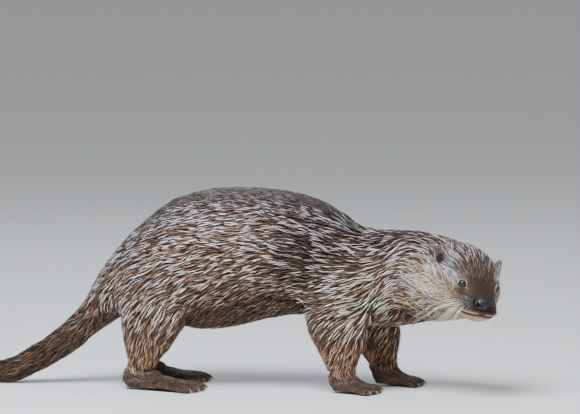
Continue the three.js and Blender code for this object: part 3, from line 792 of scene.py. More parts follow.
def patches(colours):
    """Markings of the head, with painted shade on the bridge and painted sheen round the eyes: (place in the
    head's axes, reach, colour, strength), the left side as the right."""
    return [
        ((15, 0, 26), 34, colours.crown, 0.8),
        # The bridge of the muzzle: dark hair, darkened further as painted shade.
        ((52, 0, 4), 22, colours.pad, 0.75),
        ((68, 0, -6), 15, colours.pad, 0.8),
        ((8, 48, -34), 24, colours.throat, 0.95),
        ((30, 42, -36), 17, colours.throat, 0.85),
        ((-26, 46, -42), 26, colours.throat, 0.6),
        ((20, 0, -66), 38, colours.throat, 0.85),
        ((60, 0, -52), 22, colours.throat, 0.85),
        ((46, 32, -26), 10, colours.throat, 0.5),
        # Round the eyes and before the ears: pale hair with a painted sheen of wet fur.
        ((14, 43, 2), 9, colours.eye_ring_and_sheen, 0.6),
        ((28, 39, -1), 10, colours.eye_ring_and_sheen, 0.7),
        ((42, 32, -4), 9, colours.eye_ring_and_sheen, 0.75),
        ((76, 17, -28), 18, colours.pad, 0.9),
        ((84, 13, -22), 11, colours.leather, 0.7),
    ]


# The pale rim round the lids, a painted highlight of their wet edges; an ear's edge; and an ear's inside, its
# bare skin with painted shade of the hollow.
EYE_RIM_HIGHLIGHT, EAR_RIM, EAR_BOWL_SKIN_AND_SHADE = to_linear("#dadde2"), to_linear("#7c7671"), to_linear("#1f1814")


def markings(p, normal, z, colours):
    """The coat's colour at each point, and how bare the skin is there. It runs back to flank to belly by how
    the skin faces, with brown legs and tail. There is painted shade under the belly, on the tail and in the
    hollow behind the shoulder, and the top and legs are darker. Then come the patches of the head, each a
    bell over its reach, among them painted shade on the bridge and painted sheen round the eyes. The crease
    under the eye has painted shade, and the pale rim of the eyes has a painted highlight of the wet lids.
    Lips, lids, soles and inner ears are dark, and the inner ears have painted shade of their hollows."""
    tone = tinted(np.array(colours.back), np.array(colours.flank), ease(normal[:, 2], 0.85, 0.2))
    tone = tinted(tone, colours.belly, np.maximum(0.9 * z["low"], 0.8 * np.maximum(z["leg"], z["tail"])))
    q = one_sided(p)
    tone = tinted(tone, colours.throat, 0.08 * z["neck"] * ease(normal[:, 2], 0.5, -0.1))
    tone = tinted(tone, colours.crown, 0.8 * z["neck"] * ease(normal[:, 2], 0.2, 0.8))
    # Painted shade in the hollow behind the shoulder, in the whisker pads' dark colour.
    tone = tinted(tone, colours.pad, 0.65 * z["hollow"])
    # Painted shade under the belly, on the tail and in the hollow; darker also along the top and on the legs.
    shade = 0.5 * z["low"] * (1 - z["leg"]) * (1 - z["head"]) * (1 - 0.8 * z["tail"])
    shade = shade + 0.52 * z["tail"] + 0.35 * z["top"] * (1 - z["head"])
    shade = shade + 0.5 * z["hollow"] + 0.12 * z["leg"]
    tone = tone * (1 - np.minimum(shade, 0.75))[:, None]
    tone = tinted(tone, colours.crown, 0.55 * z["head"])
    for place, reach, tint, strength in patches(colours):
        tone = tinted(tone, tint, strength * bell(np.linalg.norm(q - place, axis=1), reach))
    # Darker along the crease under the eye: painted shade.
    dark = 0.8 * bell(crease(q), 3) * ease(q[:, 0], 50, 58) * ease(q[:, 0], 84, 76)
    tone = tinted(tone, colours.crown, dark)
    lip, line = lip_line(q)
    tone = tinted(tone, colours.throat, 0.75 * line * bell(lip - 2.2, 1.6) * ease(q[:, 1], 3, 9))
    tone = tinted(tone, colours.throat, 0.85 * line * ease(lip, -1.5, -5) * ease(lip, -40, -20))
    bare = np.maximum(z["sole"], bell(lip, 1.4) * line)
    tone = tinted(tone, colours.paw, np.maximum(z["sole"], 0.5 * z["foot"]))
    tone = tinted(tone, colours.leather, bell(lip, 0.9) * line)
    for at, way in EYES:
        gap, facing = opening(p, at, way)
        near = ease(np.linalg.norm(p - at, axis=1), 0.012, 0.0095) * (facing > 0)
        # Pale rim round the lids: painted highlight of the wet lid edges.
        tone = tinted(tone, EYE_RIM_HIGHLIGHT, 0.6 * near * bell(gap - 1.38, 0.16))
        tone = tinted(tone, colours.leather, near * ease(gap, 1.24, 1.1))
        bare = np.maximum(bare, near * ease(gap, 1.4, 1.25))
    for at, way in EARS:
        bowl, rim = ear_bowl(p, normal, at, way)
        tone = tinted(tone, EAR_RIM, 0.85 * rim)
        # Dark inside the ear: its bare skin, with painted shade of the hollow.
        tone = tinted(tone, EAR_BOWL_SKIN_AND_SHADE, 0.95 * bowl)
        bare = np.maximum(bare, bowl)
    return tone * (1 + 0.1 * ripple(p, 0.03, 3))[:, None], bare


# The hair points along the line through these places, in the middle of the body from nose to tail, in
# millimetres, and each stretch of the line counts most within its reach, in metres.
SPINE = np.array(
    [
        (459, -107, 145), (427, -45, 186), (390, -23, 176), (347, 0, 170), (304, 11, 168), (259, 15, 172),
        (214, 15, 186), (169, 15, 201), (120, 15, 205), (64, 15, 199), (4, 15, 189), (-51, 15, 178),
        (-97, 15, 158), (-141, 15, 124), (-176, 15, 89), (-218, 15, 55), (-256, 15, 32), (-291, 16, 17),
        (-360, 30, 9), (-430, 62, 7), (-477, 89, 6),
    ]
)
SPINE_REACH = 0.034


def lie(p, normal, z, ring):
    """The way the hair lies, along the skin: the mean of the spine's directions, weighted by a bell over the
    distance to each of its places, plus a pull to the ground that is strongest on the legs, less what points
    off the skin, evened out over the neighbours."""
    mids, ways = (SPINE[1:] + SPINE[:-1]) / 2 * MM, unit(np.diff(SPINE, axis=0))
    apart = ((p[:, None] - mids) ** 2).sum(2)
    weight = np.exp(-(apart - apart.min(1, keepdims=True)) / (2 * SPINE_REACH**2))
    way = unit(weight @ ways)
    backward = unit(-FORWARD + 0.15 * UP)
    way = unit(tinted(way, backward, z["head"]))
    sag = 0.02 + 0.95 * ease(p[:, 2], 0.2, 0.075)
    sag = blend(sag, 0.75, z["neck"])
    sag = blend(sag, 2.4, z["leg"])
    sag = blend(sag, 0.12, z["tail"])
    sag = blend(sag, 0.18, z["head"])
    way = way - sag[:, None] * np.array([0, 0, 1.0])
    way = tinted(way, (1.0, 0, -0.3), z["foot"])
    for _ in range(25):
        way = way - (way * normal).sum(1, keepdims=True) * normal
        way = unit(0.5 * unit(way) + 0.5 * ring_mean(unit(way), ring))
    return unit(way - (way * normal).sum(1, keepdims=True) * normal)


def unwrapped(obj):
    """Unfolds the skin's own shape into islands for its OFBake map; gives the place of each triangle
    corner."""
    bpy.context.view_layer.objects.active = obj
    obj.select_set(True)
    obj.data.uv_layers.new(name="OFBake")
    bpy.ops.object.mode_set(mode="EDIT")
    bpy.ops.mesh.select_all(action="SELECT")
    bpy.ops.uv.smart_project(angle_limit=math.radians(70), island_margin=0.002)
    bpy.ops.object.mode_set(mode="OBJECT")
    uv = np.empty(len(obj.data.loops) * 2, np.float32)
    obj.data.uv_layers["OFBake"].uv.foreach_get("vector", uv)
    return uv.reshape(-1, 3, 2)


class OTTER_OT_skin(bpy.types.Operator):
    """Builds the one skin that stands for all the flesh, with its face, lids, markings, painted shade and lie
    of the hair
    """

    bl_idname = "otter.skin"
    bl_label = "Skin"

    def execute(self, context):
        sizes, colours = context.scene.otter_skin, context.scene.otter_colours
        # The joined flesh loses its facets and folds, and sinks by the depth of the coat.
        obj = thinned(joined_flesh(sizes.grain), sizes.kept)
        mesh = obj.data
        co, edges = vertices_of(mesh), edges_of(mesh)
        ring = neighbours(len(co), edges)
        z = zones(co, vertex_normals(co, triangles_of(mesh)))
        gentle = np.clip(1 - z["ear"] - 0.7 * z["foot"], 0.04, 1)
        co = relaxed(co, ring, 80, gentle * (1 - 0.7 * z["head"]))
        co = unfolded(co, ring, triangles_of(mesh), (z["head"] + z["foot"] + z["ear"] < 0.05) * 1.0)
        normal = vertex_normals(co, triangles_of(mesh))
        co = co - normal * coat_depth(sizes, zones(co, normal))[:, None]
        set_vertices(mesh, relaxed(co, ring, 6, gentle))
        # The face gets finer triangles and its own forms.
        without_specks(mesh)
        finer_face(mesh)
        co, tris = vertices_of(mesh), triangles_of(mesh)
        ring = neighbours(len(co), edges_of(mesh))
        z = zones(co, vertex_normals(co, tris))
        co = relaxed(co, ring, 4, z["head"] * (1 - 0.8 * z["ear"]))
        co = sculpted(co, vertex_normals(co, tris), sizes.eyeball)
        co[:, 2] = np.maximum(co[:, 2], 0.0)
        set_vertices(mesh, co)
        normal = vertex_normals(co, tris)
        z = zones(co, normal)
        # Under the coat the skin is darkened to 0.38 of its colour, which is painted shade between the locks.
        # It shows in full on the face and where it is bare.
        tone, bare = markings(co, normal, z, colours)
        set_colours(mesh, "marking_and_painted_light", tone * blend(0.38, 0.95, np.maximum(z["face"], bare))[:, None])
        set_colours(mesh, "bare", np.repeat(bare[:, None], 3, 1))
        mesh.polygons.foreach_set("use_smooth", np.ones(len(mesh.polygons), bool))
        uv = unwrapped(obj)
        SHAPE.update(co=co, tris=triangles_of(mesh), ring=ring, normal=normal, tone=tone, bare=bare, uv=uv)
        SHAPE["lie"] = lie(co, normal, z, ring)
        placed(obj, short_fur(), FLESH)
        return {"FINISHED"}


# ---------------------------------------------------------------- the coat


# Locks of each part as shares of the flank's: length, width, lift, cover and contrast. Later rows win.
LOCK_SHARES = {
    "top": (0.68, 0.5, 0.28, 0.9, 0.1),
    "low": (0.85, 0.8, 0.7, 0.9, 0.6),
    "neck": (1.2, 0.76, 0.9, 0.95, 1.9),
    "tail": (0.95, 0.7, 0.6, 1.0, 0.6),
    "tip": (0.6, 0.5, 0.36, 1.0, 0.9),
    "leg": (0.75, 0.62, 0.62, 1.0, 1.0),
    "foot": (0.28, 0.38, 0.2, 0.8, 0.6),
    "head": (0.95, 0.34, 0.4, 0.8, 2.2),
    "cheek": (0.66, 0.3, 0.7, 0.9, 1.3),
    "face": (0.4, 0.32, 0.24, 0.75, 0.8),
    "muzzle": (0.1, 0.18, 0.08, 0.3, 0.2),
    "ear": (0.28, 0.26, 0.14, 0.8, 0.5),
}
# Stretches of a lock from root to tip, and the side of a cell of the grid that orders the roots, in metres.
LOCK_STEPS, ROOT_CELL = 3, 0.004
# Tint of the painted shade in the gaps between locks, warmer on the low ones; of the painted skylight sheen
# on the ridges that stand up; and the palest tone.
GAP_SHADE, SHEEN = np.array([1.0, 0.85, 0.72]), np.array([0.92, 0.97, 1.05])
TONE_MAX = np.array([0.84, 0.86, 0.9])
HEAD_PIECES = ["face", "crown", "cheek_right", "cheek_left"]
BODY_PIECES = ["neck", "shoulder", "chest", "ribs", "loin", "rump", "tail"]


def lock_sizes(p, normal, coat):
    """Length, width and lift of a lock at each point, in metres, how many lie over each other and how far
    pale and dark ones differ, blended from part to part."""
    z = zones(p, normal)
    base = (coat.length, coat.width, coat.lift, coat.cover, coat.contrast)
    sizes = [np.full(len(p), value) for value in base]
    for zone, shares in LOCK_SHARES.items():
        sizes = [blend(was, value * part, z[zone]) for was, value, part in zip(sizes, base, shares)]
    return sizes


def roots(kept, draw):
    """Places spread evenly over the skin: walking its triangles cell by cell of a grid, in an order that
    weaves the bits of the three cell numbers and so keeps near ones together, one root falls each time the
    wanted number of locks, area times cover over length times width, grows by one."""
    co, tris, normal = SHAPE["co"], SHAPE["tris"], SHAPE["normal"]
    corner, second, third = co[tris[:, 0]], co[tris[:, 1]], co[tris[:, 2]]
    middles = co[tris].mean(1)
    area = np.linalg.norm(np.cross(second - corner, third - corner), axis=1) / 2
    coat = bpy.context.scene.otter_coat
    length, width, _, cover, _ = lock_sizes(middles, unit(normal[tris].mean(1)), coat)
    furry = SHAPE["bare"][tris].max(1) < 0.5
    wanted = kept * area * cover / (length * width) * furry
    cell = np.floor((middles - middles.min(0)) / ROOT_CELL).astype(np.int64)
    code = np.zeros(len(middles), np.int64)
    for bit in range(9):
        for axis in range(3):
            code |= ((cell[:, axis] >> bit) & 1) << (3 * bit + axis)
    order = np.argsort(code, kind="stable")
    total = np.cumsum(wanted[order])
    marks = np.arange(int(total[-1])) + draw.random(int(total[-1]))
    tri = order[np.minimum(np.searchsorted(total, marks), len(order) - 1)]
    a, b = draw.random((2, len(tri), 1))
    a, b = np.where(a + b > 1, 1 - a, a), np.where(a + b > 1, 1 - b, b)
    return tri, np.concatenate([1 - a - b, a, b], 1)


def round_about(near, point):
    """The vertices nearest to points, each followed by its neighbours, and their squared distances."""
    near_by = np.concatenate([near[:, None], SHAPE["ring"][near]], 1)
    return near_by, ((SHAPE["co"][near_by] - point[:, None]) ** 2).sum(2)


def walk(start, near, turn, length):
    """Carries points over the skin along the lie, turned by an angle. Each step moves a point by its share
    of the length, finds the nearest vertex among its neighbours, and drops the point back on the mean plane
    of that vertex's ring, weighted by a bell over distance. Gives places and normals at every step."""
    co, normal, ring, way = SHAPE["co"], SHAPE["normal"], SHAPE["ring"], SHAPE["lie"]
    rows = np.arange(len(start))
    reach = np.linalg.norm(co[ring] - co[:, None], axis=2).max(1)
    places, normals = [], []
    point = start
    for _ in range(LOCK_STEPS + 1):
        for _ in range(4):
            near_by, apart = round_about(near, point)
            near = near_by[rows, apart.argmin(1)]
        near_by, apart = round_about(near, point)
        weight = np.exp(-apart / (0.6 * reach[near][:, None]) ** 2)
        weight[:, 1:] *= near_by[:, 1:] != near[:, None]
        weight /= weight.sum(1, keepdims=True)
        up = unit((weight[:, :, None] * normal[near_by]).sum(1))
        height = (weight * ((point[:, None] - co[near_by]) * normal[near_by]).sum(2)).sum(1)
        point = point - up * height[:, None]
        places.append(point)
        normals.append(up)
        ahead = (weight[:, :, None] * way[near_by]).sum(1)
        ahead = unit(ahead - (ahead * up).sum(1, keepdims=True) * up)
        ahead = ahead * np.cos(turn)[:, None] + np.cross(up, ahead) * np.sin(turn)[:, None]
        point = point + ahead * (length / LOCK_STEPS)[:, None]
    return np.stack(places, 1), np.stack(normals, 1)


def drawn_together(places, clump, cell):
    """Pulls the tips of locks that root in one cell of a coarse grid towards their mean tip, as water does:
    by the square of the place along the lock, and by a quarter of its length at most."""
    key = np.floor(places[:, 0] / cell[:, None]).astype(np.int64) @ np.array([1, 4096, 4096**2])
    _, member = np.unique(key, return_inverse=True)
    count = np.bincount(member)[:, None]
    tip = np.stack([np.bincount(member, places[:, -1, k]) for k in range(3)], 1) / count
    t = np.linspace(0, 1, places.shape[1])[None, :, None] ** 2
    pull = tip[member] - places[:, -1]
    length = np.linalg.norm(places[:, -1] - places[:, 0], axis=1, keepdims=True)
    pull *= np.minimum(1, 0.25 * length / np.maximum(np.linalg.norm(pull, axis=1, keepdims=True), 1e-9))
    return places + clump * t * pull[:, None]


def lock_shapes(places, normals, width, lift, draw):
    """Three points round each place of a lock: left, ridge and right. The width swells from the root and
    runs out to the tip, the ridge stands a quarter of it high, and the whole lifts off the skin towards the
    tip."""
    count, steps = places.shape[:2]
    t = np.linspace(0, 1, steps)[None, :]
    along = unit(np.gradient(places, axis=1))
    side = unit(np.cross(normals, along))
    swell = 1.7 * (t + 0.12) ** 0.55 * np.clip(1 - t, 0, 1) ** 0.7
    half = 0.5 * width[:, None] * swell
    rise = lift[:, None] * (np.sin(0.5 * math.pi * np.minimum(1, t / 0.85)) ** 1.1 - 0.12 * ease(t, 0.8, 1.0))
    sink = -0.0006 * (1 - ease(t, 0, 0.3))
    base = places + normals * (rise + sink)[:, :, None]
    tilt = draw.uniform(-0.4, 0.4, (count, 1))
    left = base + side * half[:, :, None] + normals * (tilt * half)[:, :, None]
    right = base - side * half[:, :, None] - normals * (tilt * half)[:, :, None]
    ridge = base + normals * (0.5 * half)[:, :, None]
    rings = np.stack([left, ridge, right], 2)[:, :-1].reshape(count, -1, 3)
    points = np.concatenate([rings, base[:, -1:]], 1)
    points[..., 2] = np.maximum(points[..., 2], 0.0002)
    return points


def lock_faces():
    """Triangles of one lock and their corners' places, across and along from 0 to 1: three sides between the
    rings of three, the tip, and the closed root."""
    faces, spots = [], []
    for k in range(LOCK_STEPS - 1):
        lower, upper = k / LOCK_STEPS, (k + 1) / LOCK_STEPS
        for s in range(3):
            a, b = 3 * k + s, 3 * k + (s + 1) % 3
            faces += [(a, b, b + 3), (a, b + 3, a + 3)]
            spots += [[(s / 3, lower), ((s + 1) / 3, lower), ((s + 1) / 3, upper)]]
            spots += [[(s / 3, lower), ((s + 1) / 3, upper), (s / 3, upper)]]
    last, upper = 3 * (LOCK_STEPS - 1), (LOCK_STEPS - 1) / LOCK_STEPS
    for s in range(3):
        faces.append((last + s, last + (s + 1) % 3, last + 3))
        spots.append([(s / 3, upper), ((s + 1) / 3, upper), ((s + 0.5) / 3, 1.0)])
    faces.append((0, 2, 1))
    spots.append([(0.0, 0.0), (0.66, 0.0), (0.33, 0.0)])
    return np.array(faces), np.array(spots)


def add_locks(name, points, tone, spot, luck, fur):
    """One coat piece from the points of its locks. The strand attribute holds the place along, the place
    across and one random number per lock; OFBake holds a patch 0.003 across at the root's place on the
    skin's unwrap."""
    count, size = points.shape[:2]
    faces, corners = lock_faces()
    every = (faces[None] + np.arange(count)[:, None, None] * size).reshape(-1, 3)
    along = np.append(np.repeat(np.arange(LOCK_STEPS) / LOCK_STEPS, 3), 1.0)
    across = np.append(np.tile([0.0, 0.5, 1.0], LOCK_STEPS), 0.5)
    strand = np.stack([np.tile(along, count), np.tile(across, count), np.repeat(luck, size)], 1)
    # The lock's colour, with its painted shade and painted sheen, goes to every point of the lock.
    attributes = {"marking_and_painted_light": np.repeat(tone, size, axis=0), "strand": strand}
    uv = spot[:, None, None] + (corners[None] - 0.5) * 0.003
    obj = add_mesh(name, points.reshape(-1, 3), every, attributes, uv.reshape(-1, 2))
    return placed(obj, fur)


class OTTER_OT_coat(bpy.types.Operator):
    """Grows the wet coat: overlapping pointed locks that follow the lie, smallest on the face and feet"""

    bl_idname = "otter.coat"
    bl_label = "Coat"

    def execute(self, context):
        if not SHAPE:
            raise RuntimeError("The coat grows from the skin, which isn't built yet")
        coat = context.scene.otter_coat
        draw = np.random.default_rng(SEED)
        fur = wet_fur()
        tri, part = roots(1, draw)
        start = (SHAPE["co"][SHAPE["tris"][tri]] * part[:, :, None]).sum(1)
        order = piece_of(start)
        for index, name in enumerate(HEAD_PIECES + BODY_PIECES):
            mine = order == index
            add_locks("coat_" + name, *locks(start[mine], tri[mine], part[mine], coat, draw), fur)
        return {"FINISHED"}


def locks(start, tri, part, coat, draw):
    """Points, colours, map places and luck of the locks at these roots. Luck makes a lock pale, raised and
    glossy or dark and low. Its paleness is partly a painted highlight on the raised locks, and its darkness
    partly painted shade on the low ones. A lock that would bend round a fold of the skin is grown again, up
    to 0.6 shorter."""
    tris = SHAPE["tris"][tri]
    normal = unit((SHAPE["normal"][tris] * part[:, :, None]).sum(1))
    length, width, lift, _, contrast = lock_sizes(start, normal, coat)
    luck = draw.random(len(start))
    vary = draw.uniform(0.65, 1.3, (2, len(start)))
    length, width, lift = length * vary[0], width * vary[1], lift * (0.5 + 0.9 * luck)
    turn = draw.normal(0, 0.6, len(start)) + 1.1 * ripple(start, 0.05, 11) + 0.8 * ripple(start, 0.016, 5)
    z = zones(start, normal)
    turn = turn * coat.stray * (1 + 1.4 * z["cheek"])
    _, normals = walk(start, tris[:, 0], turn, length)
    fold = ease((normals[:, 0] * normals[:, -1]).sum(1), 0.8, 0.3)
    length, lift = length * (1 - 0.6 * fold), lift * (1 - 0.8 * fold)
    places, normals = walk(start, tris[:, 0], turn, length)
    places = drawn_together(places, coat.clump, np.maximum(2.4 * width, 0.002))
    glint = glints(luck, contrast, start, normal, z)
    tone = (SHAPE["tone"][tris] * part[:, :, None]).sum(1)
    # Lucky locks, which stand highest, are paler and the low ones darker and warmer: random tone, with
    # painted light on the raised locks and painted shade on the low ones between them.
    tone = tone * np.exp(contrast * (2.9 * luck**4 - 0.55))[:, None] * GAP_SHADE ** (1 - luck)[:, None]
    # The painted skylight sheen, a painted highlight, on the glinting locks.
    tone = np.minimum(tinted(tone, SHEEN, 0.8 * glint), TONE_MAX)
    luck = luck * np.clip(contrast / 0.4, 0.15, 1) * (1 - 0.6 * np.maximum(z["face"], z["hollow"]))
    luck = luck * (1 - 0.4 * np.maximum(z["tail"], z["cheek"]))
    spot = (SHAPE["uv"][tri] * part[:, :, None]).sum(1)
    return lock_shapes(places, normals, width * (1 - 0.38 * glint), lift, draw), tone, spot, luck


def glints(luck, contrast, start, normal, z):
    """Share of the painted skylight sheen, a painted highlight, on each lock: the luckiest quarter of them,
    not under the belly or near the ground, and fewer where the coat is short, shaded or matt."""
    glint = ease(luck, 0.76, 0.97) * ease(normal[:, 2], -0.45, 0.2) * np.clip(contrast / 0.5, 0, 1)
    glint = glint * ease(start[:, 2], 0.06, 0.14)
    losses = [
        (0.55, z["head"]),
        (1, z["face"]),
        (0.8, z["tail"]),
        (0.8, z["hollow"]),
        (0.75, z["neck"] * z["top"]),
        (0.6, z["cheek"]),
        (0.3, np.maximum(z["neck"], z["leg"])),
    ]
    for loss, where in losses:
        glint = glint * (1 - loss * where)
    return glint


def piece_of(start):
    """The coat piece that each root belongs to: on the head by its place, and elsewhere an equal share of the
    roots from neck to tail."""
    q = to_head(start)
    head = (ease(q[:, 0], -55, -20) > 0.5) & (skull_gap(q) < SKULL_REACH)
    order = np.where(q[:, 0] > 48, 0, np.where(q[:, 2] > -6, 1, np.where(q[:, 1] < 0, 2, 3)))
    rest = np.flatnonzero(~head)
    rank = np.argsort(np.argsort(-start[rest, 0]))
    order[rest] = len(HEAD_PIECES) + rank * len(BODY_PIECES) // max(len(rest), 1)
    return order


# ---------------------------------------------------------------- eyes, nose, claws, whiskers


class OTTER_OT_eyes(bpy.types.Operator):
    """Sets the two eyes: a ball with the cornea's bulge over the iris"""

    bl_idname = "otter.eyes"
    bl_label = "Eyes"

    def execute(self, context):
        shine = wet_eye(context.scene.otter_colours)
        radius = context.scene.otter_skin.eyeball
        angle, turn = ball_grid(25, 32)
        reach = radius * (1 + 0.07 * bell(angle, 0.62))
        look = np.stack([angle / math.pi * 2, np.cos(turn), np.sin(turn)], -1).reshape(-1, 3)
        for at, way in EYES:
            node = "eye_right" if way < 0 else "eye_left"
            gaze, across, lift = eye_axes(way)
            ring = np.cos(turn)[..., None] * across + np.sin(turn)[..., None] * lift
            ray = np.cos(angle)[..., None] * gaze + np.sin(angle)[..., None] * ring
            co = (at + reach[..., None] * ray).reshape(-1, 3)
            obj = add_mesh(node + "ball", co, grid_faces(25, 32, True), {"gaze": look})
            placed(merged(obj), shine, [node])
        return {"FINISHED"}


class OTTER_OT_nose(bpy.types.Operator):
    """Shapes the nose pad: a broad rounded pad with two comma nostrils and a groove down the middle"""

    bl_idname = "otter.nose"
    bl_label = "Nose"

    def execute(self, context):
        rows, columns = 61, 96
        deep, wide, tall = NOSE_HALF
        angle, turn = ball_grid(rows, columns)
        # A squarish ball, with the turn's sine and cosine raised to the power 0.85; its wings droop, and its
        # middle is full below and above.
        x = deep * np.cos(angle)
        y = wide * np.sin(angle) * np.sign(np.cos(turn)) * np.abs(np.cos(turn)) ** 0.85
        z = tall * np.sin(angle) * np.sign(np.sin(turn)) * np.abs(np.sin(turn)) ** 0.85
        far = np.abs(y)
        droop = 1.8 * (far / wide) ** 2
        z = z - droop - 1.4 * ease(z, 0, -9) * bell(y, 4) + 0.8 * ease(z, 0, 8) * bell(y, 5)
        ahead = ease(x, -3, 3)
        nostril = bell(np.hypot((far - 8.2) / 3.4, (z + 1.6 - 0.3 * (far - 8)) / 2.5), 1.0)
        slit = bell((far - 11.8) / 2.4, 1.0) * bell((z - 0.4 - 0.6 * (far - 10)) / 1.4, 1.0)
        groove = bell(y, 0.9) * ease(z, 1, -4)
        wing = bell(np.hypot((far - 8.2) / 5.2, (z + 1.6) / 4.4) - 1, 0.28)
        push = ahead * (-6.0 * nostril - 3.0 * slit - 1.2 * groove + 0.9 * wing)
        q = np.stack([x + push, y * (1 + 0.02 * push), z], -1).reshape(-1, 3) + NOSE_PLACE
        hole = np.clip(1.3 * ahead * np.maximum(nostril, 0.8 * slit), 0, 1).reshape(-1, 1)
        attributes = {"hole": np.repeat(hole, 3, 1)}
        obj = add_mesh("nose_pad", from_head(q), grid_faces(rows, columns, True), attributes)
        placed(merged(obj), nose_leather(context.scene.otter_colours), ["nose"])
        return {"FINISHED"}


class OTTER_OT_claws(bpy.types.Operator):
    """Shapes the twenty claws, foot by foot: each a tapered horn, deeper than wide, that curves down"""

    bl_idname = "otter.claws"
    bl_label = "Claws"

    def execute(self, context):
        horn = claw_horn(context.scene.otter_colours)
        for foot in FEET:
            names = [f"claw_{foot}_{k}" for k in range(1, 6)]
            heel = middle(foot.replace("_", "foot_"))
            shapes = [claw_grid(vertices_of(NODES[name].data), heel, k) for k, name in enumerate(names)]
            quads = grid_faces(CLAW_RINGS, CLAW_SIDES, True)
            faces = np.concatenate([quads + CLAW_RINGS * CLAW_SIDES * k for k in range(len(names))])
            co = np.concatenate([shape[0] for shape in shapes])
            strand = np.concatenate([shape[1] for shape in shapes])
            obj = add_mesh(f"claws_{foot}", co, faces, {"strand": strand})
            placed(merged(obj), horn, names)
        return {"FINISHED"}


CLAW_RINGS, CLAW_SIDES = 10, 12


def claw_grid(solid, heel, index):
    """Rings of points from the claw's root to its tip, on the line through its solid: a radius that falls
    off as (1 - t)^0.6, flattened at the sides, and a drop of t^2 below the line."""
    away = np.linalg.norm(solid[:, :2] - heel[:2], axis=1)
    tip = solid[away.argmax()]
    root = solid[away < np.quantile(away, 0.5)].mean(0)
    way = unit(tip - root)
    side = unit(np.cross(way, (0, 0, 1.0)))
    high = np.cross(side, way)
    turns = np.linspace(0, 2 * math.pi, CLAW_SIDES + 1)[:-1]
    t, turn = np.meshgrid(np.linspace(0, 1, CLAW_RINGS), turns, indexing="ij")
    thick = 0.0021 * np.clip(1 - t, 0, 1) ** 0.6
    length = np.linalg.norm(tip - root)
    line = root + (t * length)[..., None] * way - (0.0006 * t**2)[..., None] * high
    wide, tall = 0.8 * thick * np.cos(turn), 1.05 * thick * np.sin(turn)
    co = line + wide[..., None] * side + tall[..., None] * high
    strand = np.stack([t, turn / (2 * math.pi), np.full_like(t, 0.1 * index)], -1)
    return co.reshape(-1, 3), strand.reshape(-1, 3)


class OTTER_OT_whiskers(bpy.types.Operator):
    """Sets the whiskers: long stiff hairs and short bristles in rows on both whisker pads, and a few over
    each eye"""

    bl_idname = "otter.whiskers"
    bl_label = "Whiskers"

    def execute(self, context):
        if not SHAPE:
            raise RuntimeError("The whiskers grow from the skin, which isn't built yet")
        draw = np.random.default_rng(SEED + 1)
        # Each hair in the head's axes and millimetres: root (3), way (3), length, radius at the root.
        hairs = []
        for way in (-1, 1):
            for row in range(3):
                for column in range(5):
                    root = pad_place(way, 82 - 4.6 * column, 34 - 24 * row)
                    lean = (-0.6 + 0.17 * (4 - column), way * (0.75 - 0.08 * row), -0.5 - 0.2 * row)
                    hairs.append((*root, *lean, 18 + 11 * column + draw.uniform(-7, 10), 0.42))
            for row in range(6):
                for column in range(8):
                    root = pad_place(way, 91 - 3.5 * column - 1.7 * (row % 2), 76 - 14 * row)
                    hairs.append((*root, -0.6, 0.0, -0.3, 1.9, 0.55))
            for k in range(3):
                hairs.append((42 + 3 * k, way * (21 + k), 9 - k, -0.2, way * 0.8, 0.9, 14 + 3 * k, 0.25))
        hairs = np.array(hairs)
        seats = hairs[:, :3] + draw.normal(0, 0.35, (len(hairs), 3))
        ways = unit(hairs[:, 3:6] + draw.normal(0, 0.12, (len(hairs), 3)))
        start, out = on_skin(from_head(seats))
        ways = unit(ways @ HEAD_AXES.T + 0.7 * out)
        co, faces, strand = whisker_tubes(start, ways, hairs[:, 6] * MM, hairs[:, 7] * MM, draw)
        obj = add_mesh("whiskers", co, faces, {"strand": strand})
        placed(merged(obj), whisker_hair(context.scene.otter_colours))
        return {"FINISHED"}


def pad_place(way, ahead, turn):
    """A place on a whisker pad, an egg round the point (74, 14.5, -30) of the head: how far ahead it lies in
    millimetres, and its turn in degrees up from straight out."""
    swell = max(1 - ((ahead - 74) / 19) ** 2, 0.1) ** 0.5
    turn = math.radians(turn)
    return ahead, way * (14.5 + 16.5 * swell * math.cos(turn)), -30 + 13.5 * swell * math.sin(turn)


def on_skin(points):
    """The skin's nearest vertex to each point, and its normal."""
    head = np.flatnonzero(np.linalg.norm(to_head(SHAPE["co"]) - (60, 0, -20), axis=1) < 70)
    apart = ((SHAPE["co"][head][None] - points[:, None]) ** 2).sum(2)
    nearest = head[apart.argmin(1)]
    return SHAPE["co"][nearest], SHAPE["normal"][nearest]


def whisker_tubes(start, ways, lengths, radii, draw):
    """Tapered tubes of twelve rings of five points: the line leaves along its way, sags to the ground and
    bends back along the head by the square of its length, and the radius falls to a fifth of the root's."""
    count, rings, sides = len(start), 12, 5
    t = np.linspace(0, 1, rings)[None, :, None]
    span = lengths[:, None, None]
    bend = (np.array([0, 0, -0.95]) - 0.3 * FORWARD + draw.normal(0, 0.12, (count, 3)))[:, None]
    line = start[:, None] + span * (t * ways[:, None] + t**2 * bend * 0.6)
    line[..., 2] = np.maximum(line[..., 2], 0.004)
    along = unit(np.gradient(line, axis=1))
    side = unit(np.cross(along, UP))
    high = np.cross(side, along)
    turn = np.linspace(0, 2 * math.pi, sides + 1)[:-1]
    radius = radii[:, None, None] * (1 - 0.8 * t)
    ring = np.cos(turn)[:, None] * side[:, :, None] + np.sin(turn)[:, None] * high[:, :, None]
    co = (line[:, :, None] + radius[..., None] * ring).reshape(-1, 3)
    quads = grid_faces(rings, sides, True)
    faces = (quads[None] + np.arange(count)[:, None, None] * rings * sides).reshape(-1, 4)
    strand = np.zeros((len(co), 3))
    strand[:, 0] = np.broadcast_to(t, (count, rings, sides)).ravel()
    return co, faces, strand


# ---------------------------------------------------------------- stage


